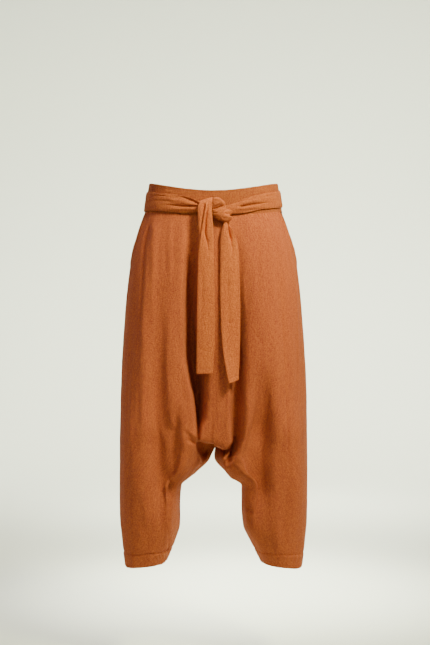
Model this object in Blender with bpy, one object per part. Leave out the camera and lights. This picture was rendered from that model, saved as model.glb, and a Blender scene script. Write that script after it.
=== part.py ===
"""Drop-crotch harem trousers with a curved waistband, slant side pockets and a knotted sash.

The garment keeps the hollow form that it has on a standing general figure. Metres, +Z up, the front faces -Y,
so the wearer's right side lies at -X. The origin is the middle of the waist, where the wearer holds it.
Each leg is a front and a back panel, lofted through the sections below from the side seam to the inner seam.
"""

import math
from collections import namedtuple

import bmesh
import bpy
import numpy as np

# Cloth thicknesses, the gap that parts two pieces at a seam, and the gap between a panel's trunk and leg
LEG_CLOTH = 0.0015
HEM_CLOTH = 0.0026
BAND_CLOTH = 0.0024
SASH_CLOTH = 0.0022
SEAM_GAP = 0.0003
PART_GAP = 0.0006
HEM_DEPTH = 0.027

SIDES = {"right": -1, "left": 1}
FACINGS = {"front": -1, "back": 1}

# The trousers from waist seam to hem. side_z and half_width place the side seam. right_x, left_x and seam_z
# place the centre seam and, past the crotch, each leg's inner seam. turn is the angle that a panel turns
# through about the upright axis, from the side seam on: 90 degrees on the trunk and 180 on a leg. fullness
# squares the corners of the section's oval. A section runs level for one share of the way before it slopes to
# its seam, and past another share it bends off its oval towards the seam. rows is how many rows of faces lead
# to the next section.
Section = namedtuple("Section", "side_z half_width turn fullness right_x left_x seam_z level bend rows")
SECTIONS = (
    Section(-0.0290, 0.1545, 90, 0.070, 0.000, 0.000, -0.0430, 0.00, 0.55, 3),
    Section(-0.0720, 0.1700, 90, 0.070, 0.000, 0.000, -0.0800, 0.00, 0.55, 3),
    Section(-0.1260, 0.1832, 90, 0.075, 0.000, 0.000, -0.1310, 0.00, 0.55, 3),
    Section(-0.2070, 0.1945, 90, 0.085, 0.000, 0.000, -0.2100, 0.10, 0.55, 3),
    Section(-0.3150, 0.2025, 90, 0.100, 0.000, 0.000, -0.3220, 0.25, 0.55, 3),
    Section(-0.3950, 0.2070, 90, 0.115, 0.000, 0.000, -0.4200, 0.45, 0.60, 2),
    Section(-0.4400, 0.2082, 91, 0.125, 0.000, 0.000, -0.4900, 0.60, 0.70, 2),
    Section(-0.4720, 0.2088, 97, 0.130, 0.000, 0.000, -0.5360, 0.62, 0.75, 2),
    Section(-0.4960, 0.2091, 112, 0.125, 0.000, 0.000, -0.5480, 0.60, 0.76, 2),
    Section(-0.5180, 0.2094, 132, 0.115, 0.000, 0.000, -0.5530, 0.56, 0.74, 2),
    Section(-0.5450, 0.2097, 154, 0.100, 0.012, 0.006, -0.5820, 0.50, 0.72, 2),
    Section(-0.5800, 0.2100, 171, 0.080, 0.044, 0.033, -0.6130, 0.45, 0.70, 2),
    Section(-0.6250, 0.2104, 180, 0.060, 0.074, 0.062, -0.6430, 0.30, 0.60, 2),
    Section(-0.6750, 0.2104, 180, 0.050, 0.077, 0.064, -0.6880, 0.20, 0.60, 2),
    Section(-0.7220, 0.2094, 180, 0.040, 0.078, 0.067, -0.7280, 0.10, 0.60, 2),
    Section(-0.7680, 0.2050, 180, 0.040, 0.093, 0.085, -0.7660, 0.00, 0.60, 2),
    Section(-0.8225, 0.1985, 180, 0.040, 0.112, 0.110, -0.8115, 0.00, 0.60, 0),
)
CROTCH = 9
TRUNK_FOOT = 6

# How far each section's front and back stand off the side seams, and where their centre seam lies
Depth = namedtuple("Depth", "panel seam")
DEPTHS = {
    "front": (
        Depth(0.104, 0.104), Depth(0.113, 0.112), Depth(0.121, 0.117), Depth(0.128, 0.119),
        Depth(0.131, 0.118), Depth(0.129, 0.116), Depth(0.127, 0.112), Depth(0.125, 0.096),
        Depth(0.123, 0.052), Depth(0.121, 0.0), Depth(0.117, 0.0), Depth(0.113, 0.0), Depth(0.107, 0.0),
        Depth(0.100, 0.0), Depth(0.090, 0.0), Depth(0.077, 0.0), Depth(0.060, 0.0),
    ),
    "back": (
        Depth(0.095, 0.095), Depth(0.112, 0.110), Depth(0.128, 0.124), Depth(0.138, 0.130),
        Depth(0.135, 0.122), Depth(0.129, 0.114), Depth(0.125, 0.107), Depth(0.121, 0.090),
        Depth(0.117, 0.048), Depth(0.114, 0.0), Depth(0.110, 0.0), Depth(0.106, 0.0), Depth(0.100, 0.0),
        Depth(0.094, 0.0), Depth(0.085, 0.0), Depth(0.073, 0.0), Depth(0.057, 0.0),
    ),
}

# Where the edges of a panel's faces lie, as shares of the way from the side seam to the inner seam
COLUMNS = {
    "front": (
        0, 0.07, 0.15, 0.24, 0.33, 0.42, 0.51, 0.59, 0.66, 0.715, 0.76,
        0.79, 0.82, 0.845, 0.87, 0.895, 0.92, 0.945, 0.97, 1,
    ),
    "back": (0, 0.08, 0.17, 0.27, 0.37, 0.47, 0.57, 0.66, 0.73, 0.785, 0.83, 0.875, 0.93, 1),
}

# The deep folds on both sides of the centre pleat. At each height: how far from the centre the fold lies, its
# half width, how deep it goes in, and how far the leg's cloth hangs over it. The hanging lip lies a little over
# one half width outside the fold's middle, and all of this fades out near the centre seam.
LIP_OFF = 1.1
FOLD_FADE_SHARE = 0.10
CentreFold = namedtuple("CentreFold", "z away half_width depth over")
BACK_FOLD = (
    CentreFold(-0.043, 0.058, 0.024, 0.000, 0.000),
    CentreFold(-0.130, 0.056, 0.024, 0.003, 0.000),
    CentreFold(-0.210, 0.052, 0.022, 0.009, 0.000),
    CentreFold(-0.320, 0.047, 0.018, 0.018, 0.000),
    CentreFold(-0.430, 0.043, 0.015, 0.024, 0.002),
    CentreFold(-0.500, 0.041, 0.013, 0.020, 0.003),
    CentreFold(-0.548, 0.040, 0.014, 0.000, 0.000),
)
CENTRE_FOLDS = {
    ("front", "right"): (
        CentreFold(-0.043, 0.038, 0.0240, 0.001, 0.0000),
        CentreFold(-0.130, 0.036, 0.0210, 0.011, 0.0000),
        CentreFold(-0.210, 0.033, 0.0180, 0.022, 0.0020),
        CentreFold(-0.320, 0.029, 0.0160, 0.032, 0.0035),
        CentreFold(-0.430, 0.028, 0.0145, 0.034, 0.0040),
        CentreFold(-0.500, 0.032, 0.0125, 0.026, 0.0040),
        CentreFold(-0.548, 0.036, 0.0120, 0.000, 0.0000),
    ),
    ("front", "left"): (
        CentreFold(-0.043, 0.056, 0.022, 0.001, 0.000),
        CentreFold(-0.130, 0.056, 0.022, 0.006, 0.000),
        CentreFold(-0.210, 0.056, 0.020, 0.010, 0.000),
        CentreFold(-0.320, 0.053, 0.017, 0.013, 0.000),
        CentreFold(-0.430, 0.047, 0.012, 0.016, 0.000),
        CentreFold(-0.500, 0.045, 0.010, 0.017, 0.000),
        CentreFold(-0.548, 0.045, 0.012, 0.000, 0.000),
    ),
    ("back", "right"): BACK_FOLD,
    ("back", "left"): BACK_FOLD,
}

# Broad soft folds that run down a panel. across is the share of the way from the side seam to the inner seam,
# at the fold's top and foot.
SoftFold = namedtuple("SoftFold", "top foot across_top across_foot half_width depth")
SOFT_FOLDS = {
    ("front", "right"): (
        SoftFold(-0.26, -0.76, 0.64, 0.66, 0.055, 0.0050),
        SoftFold(-0.54, -0.72, 0.80, 0.76, 0.050, 0.0040),
        SoftFold(-0.10, -0.55, 0.33, 0.30, 0.060, 0.0030),
    ),
    ("front", "left"): (
        SoftFold(-0.36, -0.68, 0.63, 0.66, 0.050, 0.0075),
        SoftFold(-0.07, -0.34, 0.50, 0.46, 0.060, 0.0030),
        SoftFold(-0.50, -0.79, 0.42, 0.40, 0.060, 0.0030),
    ),
    ("back", "right"): (
        SoftFold(-0.14, -0.60, 0.46, 0.38, 0.070, 0.0055),
        SoftFold(-0.26, -0.62, 0.24, 0.22, 0.060, 0.0040),
        SoftFold(-0.56, -0.78, 0.66, 0.58, 0.070, 0.0045),
    ),
    ("back", "left"): (
        SoftFold(-0.18, -0.64, 0.50, 0.42, 0.070, 0.0050),
        SoftFold(-0.10, -0.50, 0.26, 0.25, 0.060, 0.0040),
        SoftFold(-0.58, -0.78, 0.64, 0.60, 0.070, 0.0050),
    ),
}

# Slant pocket: its mouth leaves the waist seam this share of the way round the front and curves down to the
# side seam. The hip piece behind it dips under the front panel and reaches past the mouth's foot.
POCKET_TOP_SHARE = 0.22
POCKET_FOOT_Z = -0.160
POCKET_CURVE = 1.6
POCKET_GAPE = 0.0025
HIP_SHOWN_LEAST = 0.02
HIP_SHOWN_COLUMNS = (0, 0.35, 0.70)
HIP_UNDER_COLUMNS = 4
HIP_UNDER_FRONT = 0.0008
HIP_BELOW_FOOT = 0.015

# Waistband: an oval ring over the waist seam, whose top edge dips at the front
BAND_STANDS_OUT = 0.0005
BAND_TOP_HALF_WIDTH = 0.1450
BAND_TOP_SIDE_Z = 0.0350
BAND_TOP_CENTRE_Z = {"front": 0.0115, "back": 0.0275}
BAND_TOP_DEPTH = {"front": 0.1020, "back": 0.0920}
BAND_ROWS = 3
BAND_COLUMNS = 26

# Sash: each stretch lies over the band, from its side seam on. A row for each share of the way: its upper and
# lower edge and how far its lengthwise pleats stand out.
Wrap = namedtuple("Wrap", "share upper_z lower_z relief")
RIGHT_WRAP = (
    Wrap(0.00, 0.0180, -0.0260, 0.0004),
    Wrap(0.30, 0.0120, -0.0295, 0.0010),
    Wrap(0.51, 0.0060, -0.0330, 0.0018),
    Wrap(0.73, -0.0010, -0.0370, 0.0030),
    Wrap(0.86, -0.0130, -0.0370, 0.0042),
    Wrap(1.00, -0.0160, -0.0360, 0.0045),
)
LEFT_WRAP = (
    Wrap(0.00, 0.0220, -0.0160, 0.0004),
    Wrap(0.30, 0.0135, -0.0240, 0.0010),
    Wrap(0.58, 0.0040, -0.0310, 0.0018),
    Wrap(0.78, -0.0065, -0.0370, 0.0028),
    Wrap(0.96, -0.0210, -0.0405, 0.0042),
    Wrap(1.00, -0.0220, -0.0405, 0.0044),
)
BACK_WRAP = (
    Wrap(0.00, 0.0180, -0.0260, 0.0003),
    Wrap(0.30, 0.0190, -0.0240, 0.0006),
    Wrap(0.65, 0.0200, -0.0225, 0.0006),
    Wrap(1.00, 0.0220, -0.0160, 0.0003),
)
RIGHT_WRAP_END_X = 0.004
LEFT_WRAP_END_X = 0.022
SASH_OFF_BAND = 0.0006
SASH_PLEATS = 3
# A pleat of the sash is folded double, so its inner side rises this share as much as its outer side
SASH_PLEAT_HOLLOW = 0.4
FRONT_WRAP_ROWS = 12
FRONT_WRAP_COLUMNS = 14
BACK_WRAP_ROWS = 6
BACK_WRAP_COLUMNS = 22

# Free ends of the sash. A row for each height: middle of the width, width, how far the width has turned
# about the upright axis and tilted, in degrees, and how far the flat is bowed out along its middle.
Tail = namedtuple("Tail", "x y z width turned tilt bow")
RIGHT_TAIL = (
    Tail(-0.0150, -0.1042, -0.0070, 0.0270, 0, 15, 0.0000),
    Tail(-0.0155, -0.1160, -0.0085, 0.0280, 0, 15, 0.0006),
    Tail(-0.0165, -0.1222, -0.0150, 0.0290, 0, 13, 0.0014),
    Tail(-0.0185, -0.1245, -0.0270, 0.0310, 0, 8, 0.0024),
    Tail(-0.0178, -0.1250, -0.0500, 0.0310, 3, 3, 0.0036),
    Tail(-0.0150, -0.1250, -0.1000, 0.0325, 3, 0, 0.0026),
    Tail(-0.0160, -0.1252, -0.1900, 0.0365, 0, 0, 0.0014),
    Tail(-0.0165, -0.1255, -0.3100, 0.0386, -3, 0, 0.0014),
    Tail(-0.0188, -0.1255, -0.3860, 0.0365, -6, 2, 0.0016),
)
LEFT_TAIL = (
    Tail(0.0305, -0.1175, -0.0598, 0.0130, 0, -18, 0.0020),
    Tail(0.0298, -0.1190, -0.0680, 0.0190, 2, -8, 0.0036),
    Tail(0.0305, -0.1215, -0.0870, 0.0290, 3, 0, 0.0045),
    Tail(0.0345, -0.1225, -0.1150, 0.0385, 4, 0, 0.0036),
    Tail(0.0367, -0.1240, -0.2250, 0.0430, 6, 0, 0.0018),
    Tail(0.0382, -0.1250, -0.3130, 0.0400, 14, 2, 0.0016),
    Tail(0.0422, -0.1270, -0.3800, 0.0345, 38, 8, 0.0016),
    Tail(0.0446, -0.1280, -0.4030, 0.0310, 46, 14, 0.0014),
)
TAIL_ROWS = 22
TAIL_COLUMNS = 6

# The knot's two lobes: the middle line of each from end to end, with its width and thickness
Lobe = namedtuple("Lobe", "x y z width thickness")
UPPER_LOBE = (
    Lobe(0.0275, -0.1140, -0.0215, 0.0110, 0.0060),
    Lobe(0.0210, -0.1163, -0.0170, 0.0160, 0.0100),
    Lobe(0.0130, -0.1175, -0.0150, 0.0190, 0.0125),
    Lobe(0.0050, -0.1163, -0.0165, 0.0175, 0.0105),
    Lobe(-0.0030, -0.1143, -0.0195, 0.0125, 0.0065),
)
LOWER_LOBE = (
    Lobe(-0.0030, -0.1152, -0.0335, 0.0130, 0.0065),
    Lobe(0.0060, -0.1173, -0.0370, 0.0215, 0.0115),
    Lobe(0.0165, -0.1178, -0.0420, 0.0285, 0.0135),
    Lobe(0.0280, -0.1165, -0.0455, 0.0250, 0.0115),
    Lobe(0.0390, -0.1140, -0.0500, 0.0130, 0.0065),
)
LOBE_RINGS = 12
LOBE_SIDES = 14
LOBE_END = 0.6

COLOURS = {
    "panel": (0.47, 0.155, 0.045, 1),
    "band": (0.50, 0.170, 0.050, 1),
    "sash": (0.53, 0.190, 0.060, 1),
    "hip": (0.40, 0.125, 0.036, 1),
}
CLOTH_ROUGHNESS = 0.88
SMOOTH_ANGLE = math.radians(50)


def clear_scene():
    """Removes whatever the file holds."""
    for thing in list(bpy.data.objects):
        bpy.data.objects.remove(thing, do_unlink=True)


def make_material(name, colour):
    """Matt woven cloth in one colour."""
    material = bpy.data.materials.new(name)
    material.use_nodes = True
    shader = material.node_tree.nodes["Principled BSDF"]
    shader.inputs["Base Color"].default_value = colour
    shader.inputs["Roughness"].default_value = CLOTH_ROUGHNESS
    shader.inputs["Metallic"].default_value = 0.0
    material.diffuse_color = colour
    return material


def add_piece(collection, name, shell, kind):
    """Turns a closed bmesh into the named object of one sub-part."""
    bmesh.ops.recalc_face_normals(shell, faces=shell.faces)
    mesh = bpy.data.meshes.new(name)
    shell.to_mesh(mesh)
    shell.free()
    mesh.shade_smooth()
    mesh.set_sharp_from_angle(angle=SMOOTH_ANGLE)
    mesh.materials.append(make_material(f"{name}_cloth", COLOURS[kind]))
    collection.objects.link(bpy.data.objects.new(name, mesh))


def ease(share):
    """0 before 0, 1 after 1, and a smooth rise between."""
    share = min(max(share, 0.0), 1.0)
    return share * share * (3 - 2 * share)


def along(places, values, place):
    """The value at a place on a smooth curve through the values, which never overshoots them."""
    places = np.asarray(places, float)
    values = np.asarray(values, float)
    if places[0] > places[-1]:
        places, values = places[::-1], values[::-1]
    place = min(max(place, places[0]), places[-1])
    steps = np.diff(places)
    slopes = np.diff(values) / steps
    bends = np.concatenate([slopes[:1], np.zeros(len(slopes) - 1), slopes[-1:]])
    for i in range(1, len(slopes)):
        if slopes[i - 1] * slopes[i] > 0:
            before = 2 * steps[i] + steps[i - 1]
            after = steps[i] + 2 * steps[i - 1]
            bends[i] = (before + after) / (before / slopes[i - 1] + after / slopes[i])
    i = min(int(np.searchsorted(places, place, side="right")) - 1, len(steps) - 1)
    t = (place - places[i]) / steps[i]
    start = values[i] * (1 + 2 * t) * (1 - t) ** 2 + steps[i] * bends[i] * t * (1 - t) ** 2
    end = values[i + 1] * t * t * (3 - 2 * t) - steps[i] * bends[i + 1] * t * t * (1 - t)
    return start + end


def between(table, name, key, place):
    """The value of a table's column where its key column has the given place."""
    return along([getattr(row, key) for row in table], [getattr(row, name) for row in table], place)


def at_row(table, name, place):
    """The value of a column at a place counted in rows of the table."""
    return along(range(len(table)), [getattr(row, name) for row in table], place)


def outward(grid, turned):
    """The outward normal at each point of a grid; turned says which way round the grid runs."""
    normals = turned * np.cross(np.gradient(grid, axis=0), np.gradient(grid, axis=1))
    return normals / np.linalg.norm(normals, axis=2, keepdims=True)


def flatten(normals, axis):
    """Takes one axis out of some normals, so that a sheet's rim lies in its seam's plane."""
    normals[..., axis] = 0
    normals /= np.linalg.norm(normals, axis=-1, keepdims=True)


def lining(outer, normals, cloth):
    """The inner points of a sheet of cloth; cloth is its thickness, or one for each row."""
    return outer - normals * np.broadcast_to(cloth, len(outer))[:, None, None]


def wall(outer, inner):
    """A closed sheet of cloth between two grids of points."""
    shell = bmesh.new()
    layers = [[[shell.verts.new(point) for point in row] for row in grid] for grid in (outer, inner)]
    last_row, last_column = len(outer) - 1, len(outer[0]) - 1
    for layer in layers:
        for i in range(last_row):
            for j in range(last_column):
                shell.faces.new((layer[i][j], layer[i + 1][j], layer[i + 1][j + 1], layer[i][j + 1]))
    rim = [(0, j) for j in range(last_column)]
    rim += [(i, last_column) for i in range(last_row)]
    rim += [(last_row, j) for j in range(last_column, 0, -1)]
    rim += [(i, 0) for i in range(last_row, 0, -1)]
    face, back = layers
    for (i, j), (k, m) in zip(rim, rim[1:] + rim[:1]):
        shell.faces.new((face[i][j], face[k][m], back[k][m], back[i][j]))
    return shell


def oval(angle, fullness):
    """Shares of the half width and of the depth at an angle about the trunk, from the side seam on."""
    return math.cos(angle), (math.sin(angle) + fullness * math.sin(3 * angle)) / (1 - fullness)


def leg_rows():
    """Each row's place, counted in sections from the waist seam."""
    places = [i + k / section.rows for i, section in enumerate(SECTIONS) for k in range(section.rows)]
    return [*places, len(SECTIONS) - 1.0]


def centre_fold(facing, side, z, away):
    """How far the fold beside the centre pleat moves a point: towards the centre, and into the body."""
    table = CENTRE_FOLDS[facing, side]
    off = (away - between(table, "away", "z", z)) / between(table, "half_width", "z", z)
    lip = math.exp(-((off - LIP_OFF) ** 2))
    return between(table, "over", "z", z) * lip, between(table, "depth", "z", z) * math.exp(-off * off)


def soft_folds(facing, side, z, across):
    """How deep the broad folds are at a point of a panel."""
    total = 0.0
    for fold in SOFT_FOLDS[facing, side]:
        down = (fold.top - z) / (fold.top - fold.foot)
        if 0 < down < 1:
            middle = fold.across_top + (fold.across_foot - fold.across_top) * down
            off = (across - middle) / fold.half_width
            total += fold.depth * math.sin(math.pi * down) * math.exp(-off * off)
    return total


def panel_point(facing, side, place, across):
    """A point of a panel without its broad folds, from its side seam (across 0) to its inner seam (1)."""
    side_z = at_row(SECTIONS, "side_z", place)
    half_width = at_row(SECTIONS, "half_width", place)
    turn = math.radians(at_row(SECTIONS, "turn", place))
    seam_x = at_row(SECTIONS, f"{side}_x", place)
    depth = at_row(DEPTHS[facing], "panel", place)
    level = at_row(SECTIONS, "level", place)
    z = side_z + (at_row(SECTIONS, "seam_z", place) - side_z) * ease((across - level) / (1 - level))
    fullness = at_row(SECTIONS, "fullness", place)
    to_side, out = oval(turn * across, fullness)
    to_side_end, out_end = oval(turn, fullness)
    away = seam_x + (half_width - seam_x) * (to_side - to_side_end) / (1 - to_side_end)
    off_seam = at_row(DEPTHS[facing], "seam", place) - depth * out_end
    bend = at_row(SECTIONS, "bend", place)
    stand = depth * out + off_seam * ease((across - bend) / (1 - bend))
    towards_centre, inwards = centre_fold(facing, side, z, away)
    fade = ease((1 - across) / FOLD_FADE_SHARE)
    away -= towards_centre * fade
    stand -= inwards * fade
    return np.array([SIDES[side] * away, FACINGS[facing] * stand, z])


def mouth_share(z):
    """How far round the front the pocket's mouth lies at a height."""
    waist_z = SECTIONS[0].side_z
    down = min((waist_z - z) / (waist_z - POCKET_FOOT_Z), 1.0)
    return POCKET_TOP_SHARE * (1 - max(down, 0.0) ** POCKET_CURVE)


def back_columns(_side_z):
    """Shares across a back panel, which starts at the side seam."""
    return list(COLUMNS["back"])


def front_columns(side_z):
    """Shares across a front panel, which starts at the pocket's mouth."""
    start = mouth_share(side_z)
    return [start + (1 - start) * share for share in COLUMNS["front"]]


def hip_columns(side_z):
    """Shares across a hip piece: from the side seam to the mouth, then under the front panel."""
    start = max(mouth_share(side_z), HIP_SHOWN_LEAST)
    shown = [start * share for share in HIP_SHOWN_COLUMNS]
    return shown + [start + (1 - start) * share for share in COLUMNS["front"][:HIP_UNDER_COLUMNS]]


def panel_grid(facing, side, places, columns):
    """Outer points and outward normals of a panel; columns gives each row's shares of the way across."""
    turned = SIDES[side] * FACINGS[facing]
    shares = [columns(at_row(SECTIONS, "side_z", place)) for place in places]
    rows = [[panel_point(facing, side, place, share) for share in row] for place, row in zip(places, shares)]
    grid = np.array(rows)
    normals = outward(grid, turned)
    for i, row in enumerate(shares):
        for j, share in enumerate(row):
            grid[i, j] -= normals[i, j] * soft_folds(facing, side, grid[i, j, 2], share)
    normals = outward(grid, turned)
    flatten(normals[0], 2)
    for i, row in enumerate(shares):
        if row[0] == 0:
            flatten(normals[i, 0], 1)
            grid[i, 0, 1] = FACINGS[facing] * SEAM_GAP / 2
    return grid, normals


def leg_panel(facing, side):
    """Outer and inner points of one panel from the waist seam to the hem. It meets its neighbours at the seams,
    and all four meet at the crotch. The cloth is thicker where the hem is turned up."""
    places = leg_rows()
    grid, normals = panel_grid(facing, side, places, front_columns if facing == "front" else back_columns)
    crotch = places.index(CROTCH)
    flatten(normals[:crotch, -1], 0)
    normals[crotch, -1] = (0, 0, -1)
    flatten(normals[crotch + 1:, -1], 1)
    grid[: crotch + 1, -1, 0] = SIDES[side] * SEAM_GAP / 2
    grid[crotch:, -1, 1] = FACINGS[facing] * SEAM_GAP / 2
    hem_top = grid[-1, :, 2].max() + HEM_DEPTH
    cloth = [HEM_CLOTH if row[:, 2].max() < hem_top else LEG_CLOTH for row in grid]
    return grid, lining(grid, normals, cloth)


def trunk_and_leg(facing, side):
    """A panel as its trunk and its leg, parted over the crotch so that each has a simpler hollow."""
    foot = leg_rows().index(TRUNK_FOOT)
    layers = leg_panel(facing, side)
    down = layers[0][foot + 1] - layers[0][foot]
    down /= np.linalg.norm(down, axis=1, keepdims=True)
    leg = [layer[foot:].copy() for layer in layers]
    for layer in leg:
        layer[0] += down * PART_GAP
    return wall(*(layer[: foot + 1] for layer in layers)), wall(*leg)


def hip_piece(side):
    """The piece behind a pocket's mouth. It is flush with the back panel at the side seam and dips under the
    front panel, where the mouth gapes a little."""
    lowest = POCKET_FOOT_Z - HIP_BELOW_FOOT
    places = [place for place in leg_rows() if at_row(SECTIONS, "side_z", place) > lowest]
    grid, normals = panel_grid("front", side, places, hip_columns)
    for i, place in enumerate(places):
        waist_z = SECTIONS[0].side_z
        down = min((waist_z - at_row(SECTIONS, "side_z", place)) / (waist_z - POCKET_FOOT_Z), 1.0)
        gape = POCKET_GAPE * math.sin(math.pi * down)
        for j, share in enumerate([*HIP_SHOWN_COLUMNS, *[1.0] * HIP_UNDER_COLUMNS]):
            under = ease(share / HIP_SHOWN_COLUMNS[-1]) if down < 1 else 1.0
            grid[i, j] -= normals[i, j] * (LEG_CLOTH + HIP_UNDER_FRONT + gape) * under
    return wall(grid, lining(grid, normals, LEG_CLOTH))


def band_point(facing, across, z=None, up=None, out=0.0):
    """A point over the waistband at a height, given as z or as a share (up) of the band's own height. across
    runs from the wearer's right side seam to the left one, and out is how far the point stands off the waist."""
    angle = math.pi * across
    to_side, stand = oval(angle, SECTIONS[0].fullness)
    rise = ease(1 - abs(1 - 2 * across))
    low = SECTIONS[0].side_z + (SECTIONS[0].seam_z - SECTIONS[0].side_z) * rise + SEAM_GAP
    high = BAND_TOP_SIDE_Z + (BAND_TOP_CENTRE_Z[facing] - BAND_TOP_SIDE_Z) * rise
    if up is None:
        up = (z - low) / (high - low)
    half_width = SECTIONS[0].half_width + (BAND_TOP_HALF_WIDTH - SECTIONS[0].half_width) * up
    depth = DEPTHS[facing][0].panel + (BAND_TOP_DEPTH[facing] - DEPTHS[facing][0].panel) * up
    square = np.array([-to_side / half_width, FACINGS[facing] * stand / depth])
    point = np.array([-to_side * half_width, FACINGS[facing] * stand * depth])
    point += out * square / np.linalg.norm(square)
    return np.array([*point, low + (high - low) * up])


def meet_side_seam(facing, grid, column):
    """Brings one column of a grid up to the side seam's plane."""
    grid[:, column, 1] = FACINGS[facing] * SEAM_GAP / 2


def waistband(facing):
    """Front or back half of the waistband, from side seam to side seam."""
    ups = np.linspace(1, 0, BAND_ROWS + 1)
    places = np.linspace(0, 1, BAND_COLUMNS + 1)
    out = BAND_STANDS_OUT
    grid = np.array([[band_point(facing, across, up=up, out=out) for across in places] for up in ups])
    normals = outward(grid, -FACINGS[facing])
    flatten(normals[-1], 2)
    for column in (0, -1):
        flatten(normals[:, column], 1)
        meet_side_seam(facing, grid, column)
    return wall(grid, lining(grid, normals, BAND_CLOTH))


def wrap_layers(facing, table, places, rows):
    """Outer and inner points of a stretch of sash over the band, with its lengthwise pleats. places holds, for
    each column, the share of its way and where it lies across the band."""
    layers = np.zeros((2, rows + 1, len(places), 3))
    for j, (share, across) in enumerate(places):
        upper = between(table, "upper_z", "share", share)
        lower = between(table, "lower_z", "share", share)
        relief = between(table, "relief", "share", share)
        for i in range(rows + 1):
            z = upper + (lower - upper) * i / rows
            wave = relief * (0.5 - 0.5 * math.cos(2 * math.pi * SASH_PLEATS * i / rows))
            inside = BAND_STANDS_OUT + SASH_OFF_BAND + wave * SASH_PLEAT_HOLLOW
            outside = BAND_STANDS_OUT + SASH_OFF_BAND + SASH_CLOTH + wave
            layers[0, i, j] = band_point(facing, across, z=z, out=outside)
            layers[1, i, j] = band_point(facing, across, z=z, out=inside)
    return layers


def front_wrap(side):
    """The stretch of sash from a side seam to the knot."""
    table, end_x = (RIGHT_WRAP, RIGHT_WRAP_END_X) if side == "right" else (LEFT_WRAP, LEFT_WRAP_END_X)
    start = 0.0 if side == "right" else 1.0
    end = math.acos(-end_x / SECTIONS[0].half_width) / math.pi
    shares = np.linspace(0, 1, FRONT_WRAP_COLUMNS + 1)
    places = [(share, start + (end - start) * share) for share in shares]
    layers = wrap_layers("front", table, places, FRONT_WRAP_ROWS)
    for layer in layers:
        meet_side_seam("front", layer, 0)
    return wall(*layers)


def back_wrap():
    """The stretch of sash across the back."""
    places = [(share, share) for share in np.linspace(0, 1, BACK_WRAP_COLUMNS + 1)]
    layers = wrap_layers("back", BACK_WRAP, places, BACK_WRAP_ROWS)
    for layer in layers:
        for column in (0, -1):
            meet_side_seam("back", layer, column)
    return wall(*layers)


def sash_tail(table):
    """A free end of the sash, which hangs from the knot."""
    grid = np.zeros((TAIL_ROWS + 1, TAIL_COLUMNS + 1, 3))
    for i, place in enumerate(np.linspace(0, len(table) - 1, TAIL_ROWS + 1)):
        middle = np.array([at_row(table, name, place) for name in "xyz"])
        turned = math.radians(at_row(table, "turned", place))
        tilt = math.radians(at_row(table, "tilt", place))
        width = at_row(table, "width", place)
        bow = at_row(table, "bow", place)
        level = math.cos(tilt)
        across = np.array([math.cos(turned) * level, math.sin(turned) * level, math.sin(tilt)])
        out = np.array([math.sin(turned), -math.cos(turned), 0.0])
        for j in range(TAIL_COLUMNS + 1):
            off = 2 * j / TAIL_COLUMNS - 1
            grid[i, j] = middle + across * width * off / 2 + out * bow * (1 - off * off)
    return wall(grid, lining(grid, outward(grid, 1), SASH_CLOTH))


def knot_lobe(table):
    """A lobe of the knot: rings of an oval section along its middle line, smaller at both ends."""
    shell = bmesh.new()
    rings = []
    places = np.linspace(0, len(table) - 1, LOBE_RINGS)
    middles = np.array([[at_row(table, name, place) for name in "xyz"] for place in places])
    runs = np.gradient(middles, axis=0)
    for place, middle, run in zip(places, middles, runs):
        run = run / np.linalg.norm(run)
        out = np.array([0.0, -1.0, 0.0]) + run * run[1]
        out /= np.linalg.norm(out)
        across = np.cross(run, out)
        end = LOBE_END if place in (places[0], places[-1]) else 1.0
        half_width = end * at_row(table, "width", place) / 2
        half_thick = end * at_row(table, "thickness", place) / 2
        ring = []
        for angle in np.linspace(0, 2 * math.pi, LOBE_SIDES, endpoint=False):
            off = across * half_width * math.cos(angle) + out * half_thick * math.sin(angle)
            ring.append(shell.verts.new(middle + off))
        rings.append(ring)
    for ring, after in zip(rings, rings[1:]):
        for k in range(LOBE_SIDES):
            m = (k + 1) % LOBE_SIDES
            shell.faces.new((ring[k], ring[m], after[m], after[k]))
    shell.faces.new(rings[0])
    shell.faces.new(rings[-1])
    return shell


def main():
    """Builds every piece of the garment."""
    clear_scene()
    collection = bpy.data.collections.new("harem_pants")
    bpy.context.scene.collection.children.link(collection)
    for facing in FACINGS:
        for side in SIDES:
            trunk, leg = trunk_and_leg(facing, side)
            add_piece(collection, f"{facing}_{side}", trunk, "panel")
            add_piece(collection, f"{facing}_{side}_leg", leg, "panel")
        add_piece(collection, f"waistband_{facing}", waistband(facing), "band")
    for side in SIDES:
        add_piece(collection, f"hip_piece_{side}", hip_piece(side), "hip")
        add_piece(collection, f"sash_{side}", front_wrap(side), "sash")
    add_piece(collection, "sash_back", back_wrap(), "sash")
    add_piece(collection, "knot_upper_lobe", knot_lobe(UPPER_LOBE), "sash")
    add_piece(collection, "knot_lower_lobe", knot_lobe(LOWER_LOBE), "sash")
    add_piece(collection, "tail_right", sash_tail(RIGHT_TAIL), "sash")
    add_piece(collection, "tail_left", sash_tail(LEFT_TAIL), "sash")


main()
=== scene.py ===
"""Harem pants with a tie sash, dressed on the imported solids: cloth, folds, sewing, weave, light and camera.

Metres, +Z up. The front faces -Y and the wearer's right side lies at -X. Every shell is laid on the same
sections as its solid, with finer folds, and is then given the thickness of cloth.
"""

from __future__ import annotations

import logging
import math
from dataclasses import dataclass
from enum import Enum
from functools import reduce
from typing import Any, NamedTuple, Sequence

import bpy
import numpy as np
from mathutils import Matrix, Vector, noise


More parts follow.
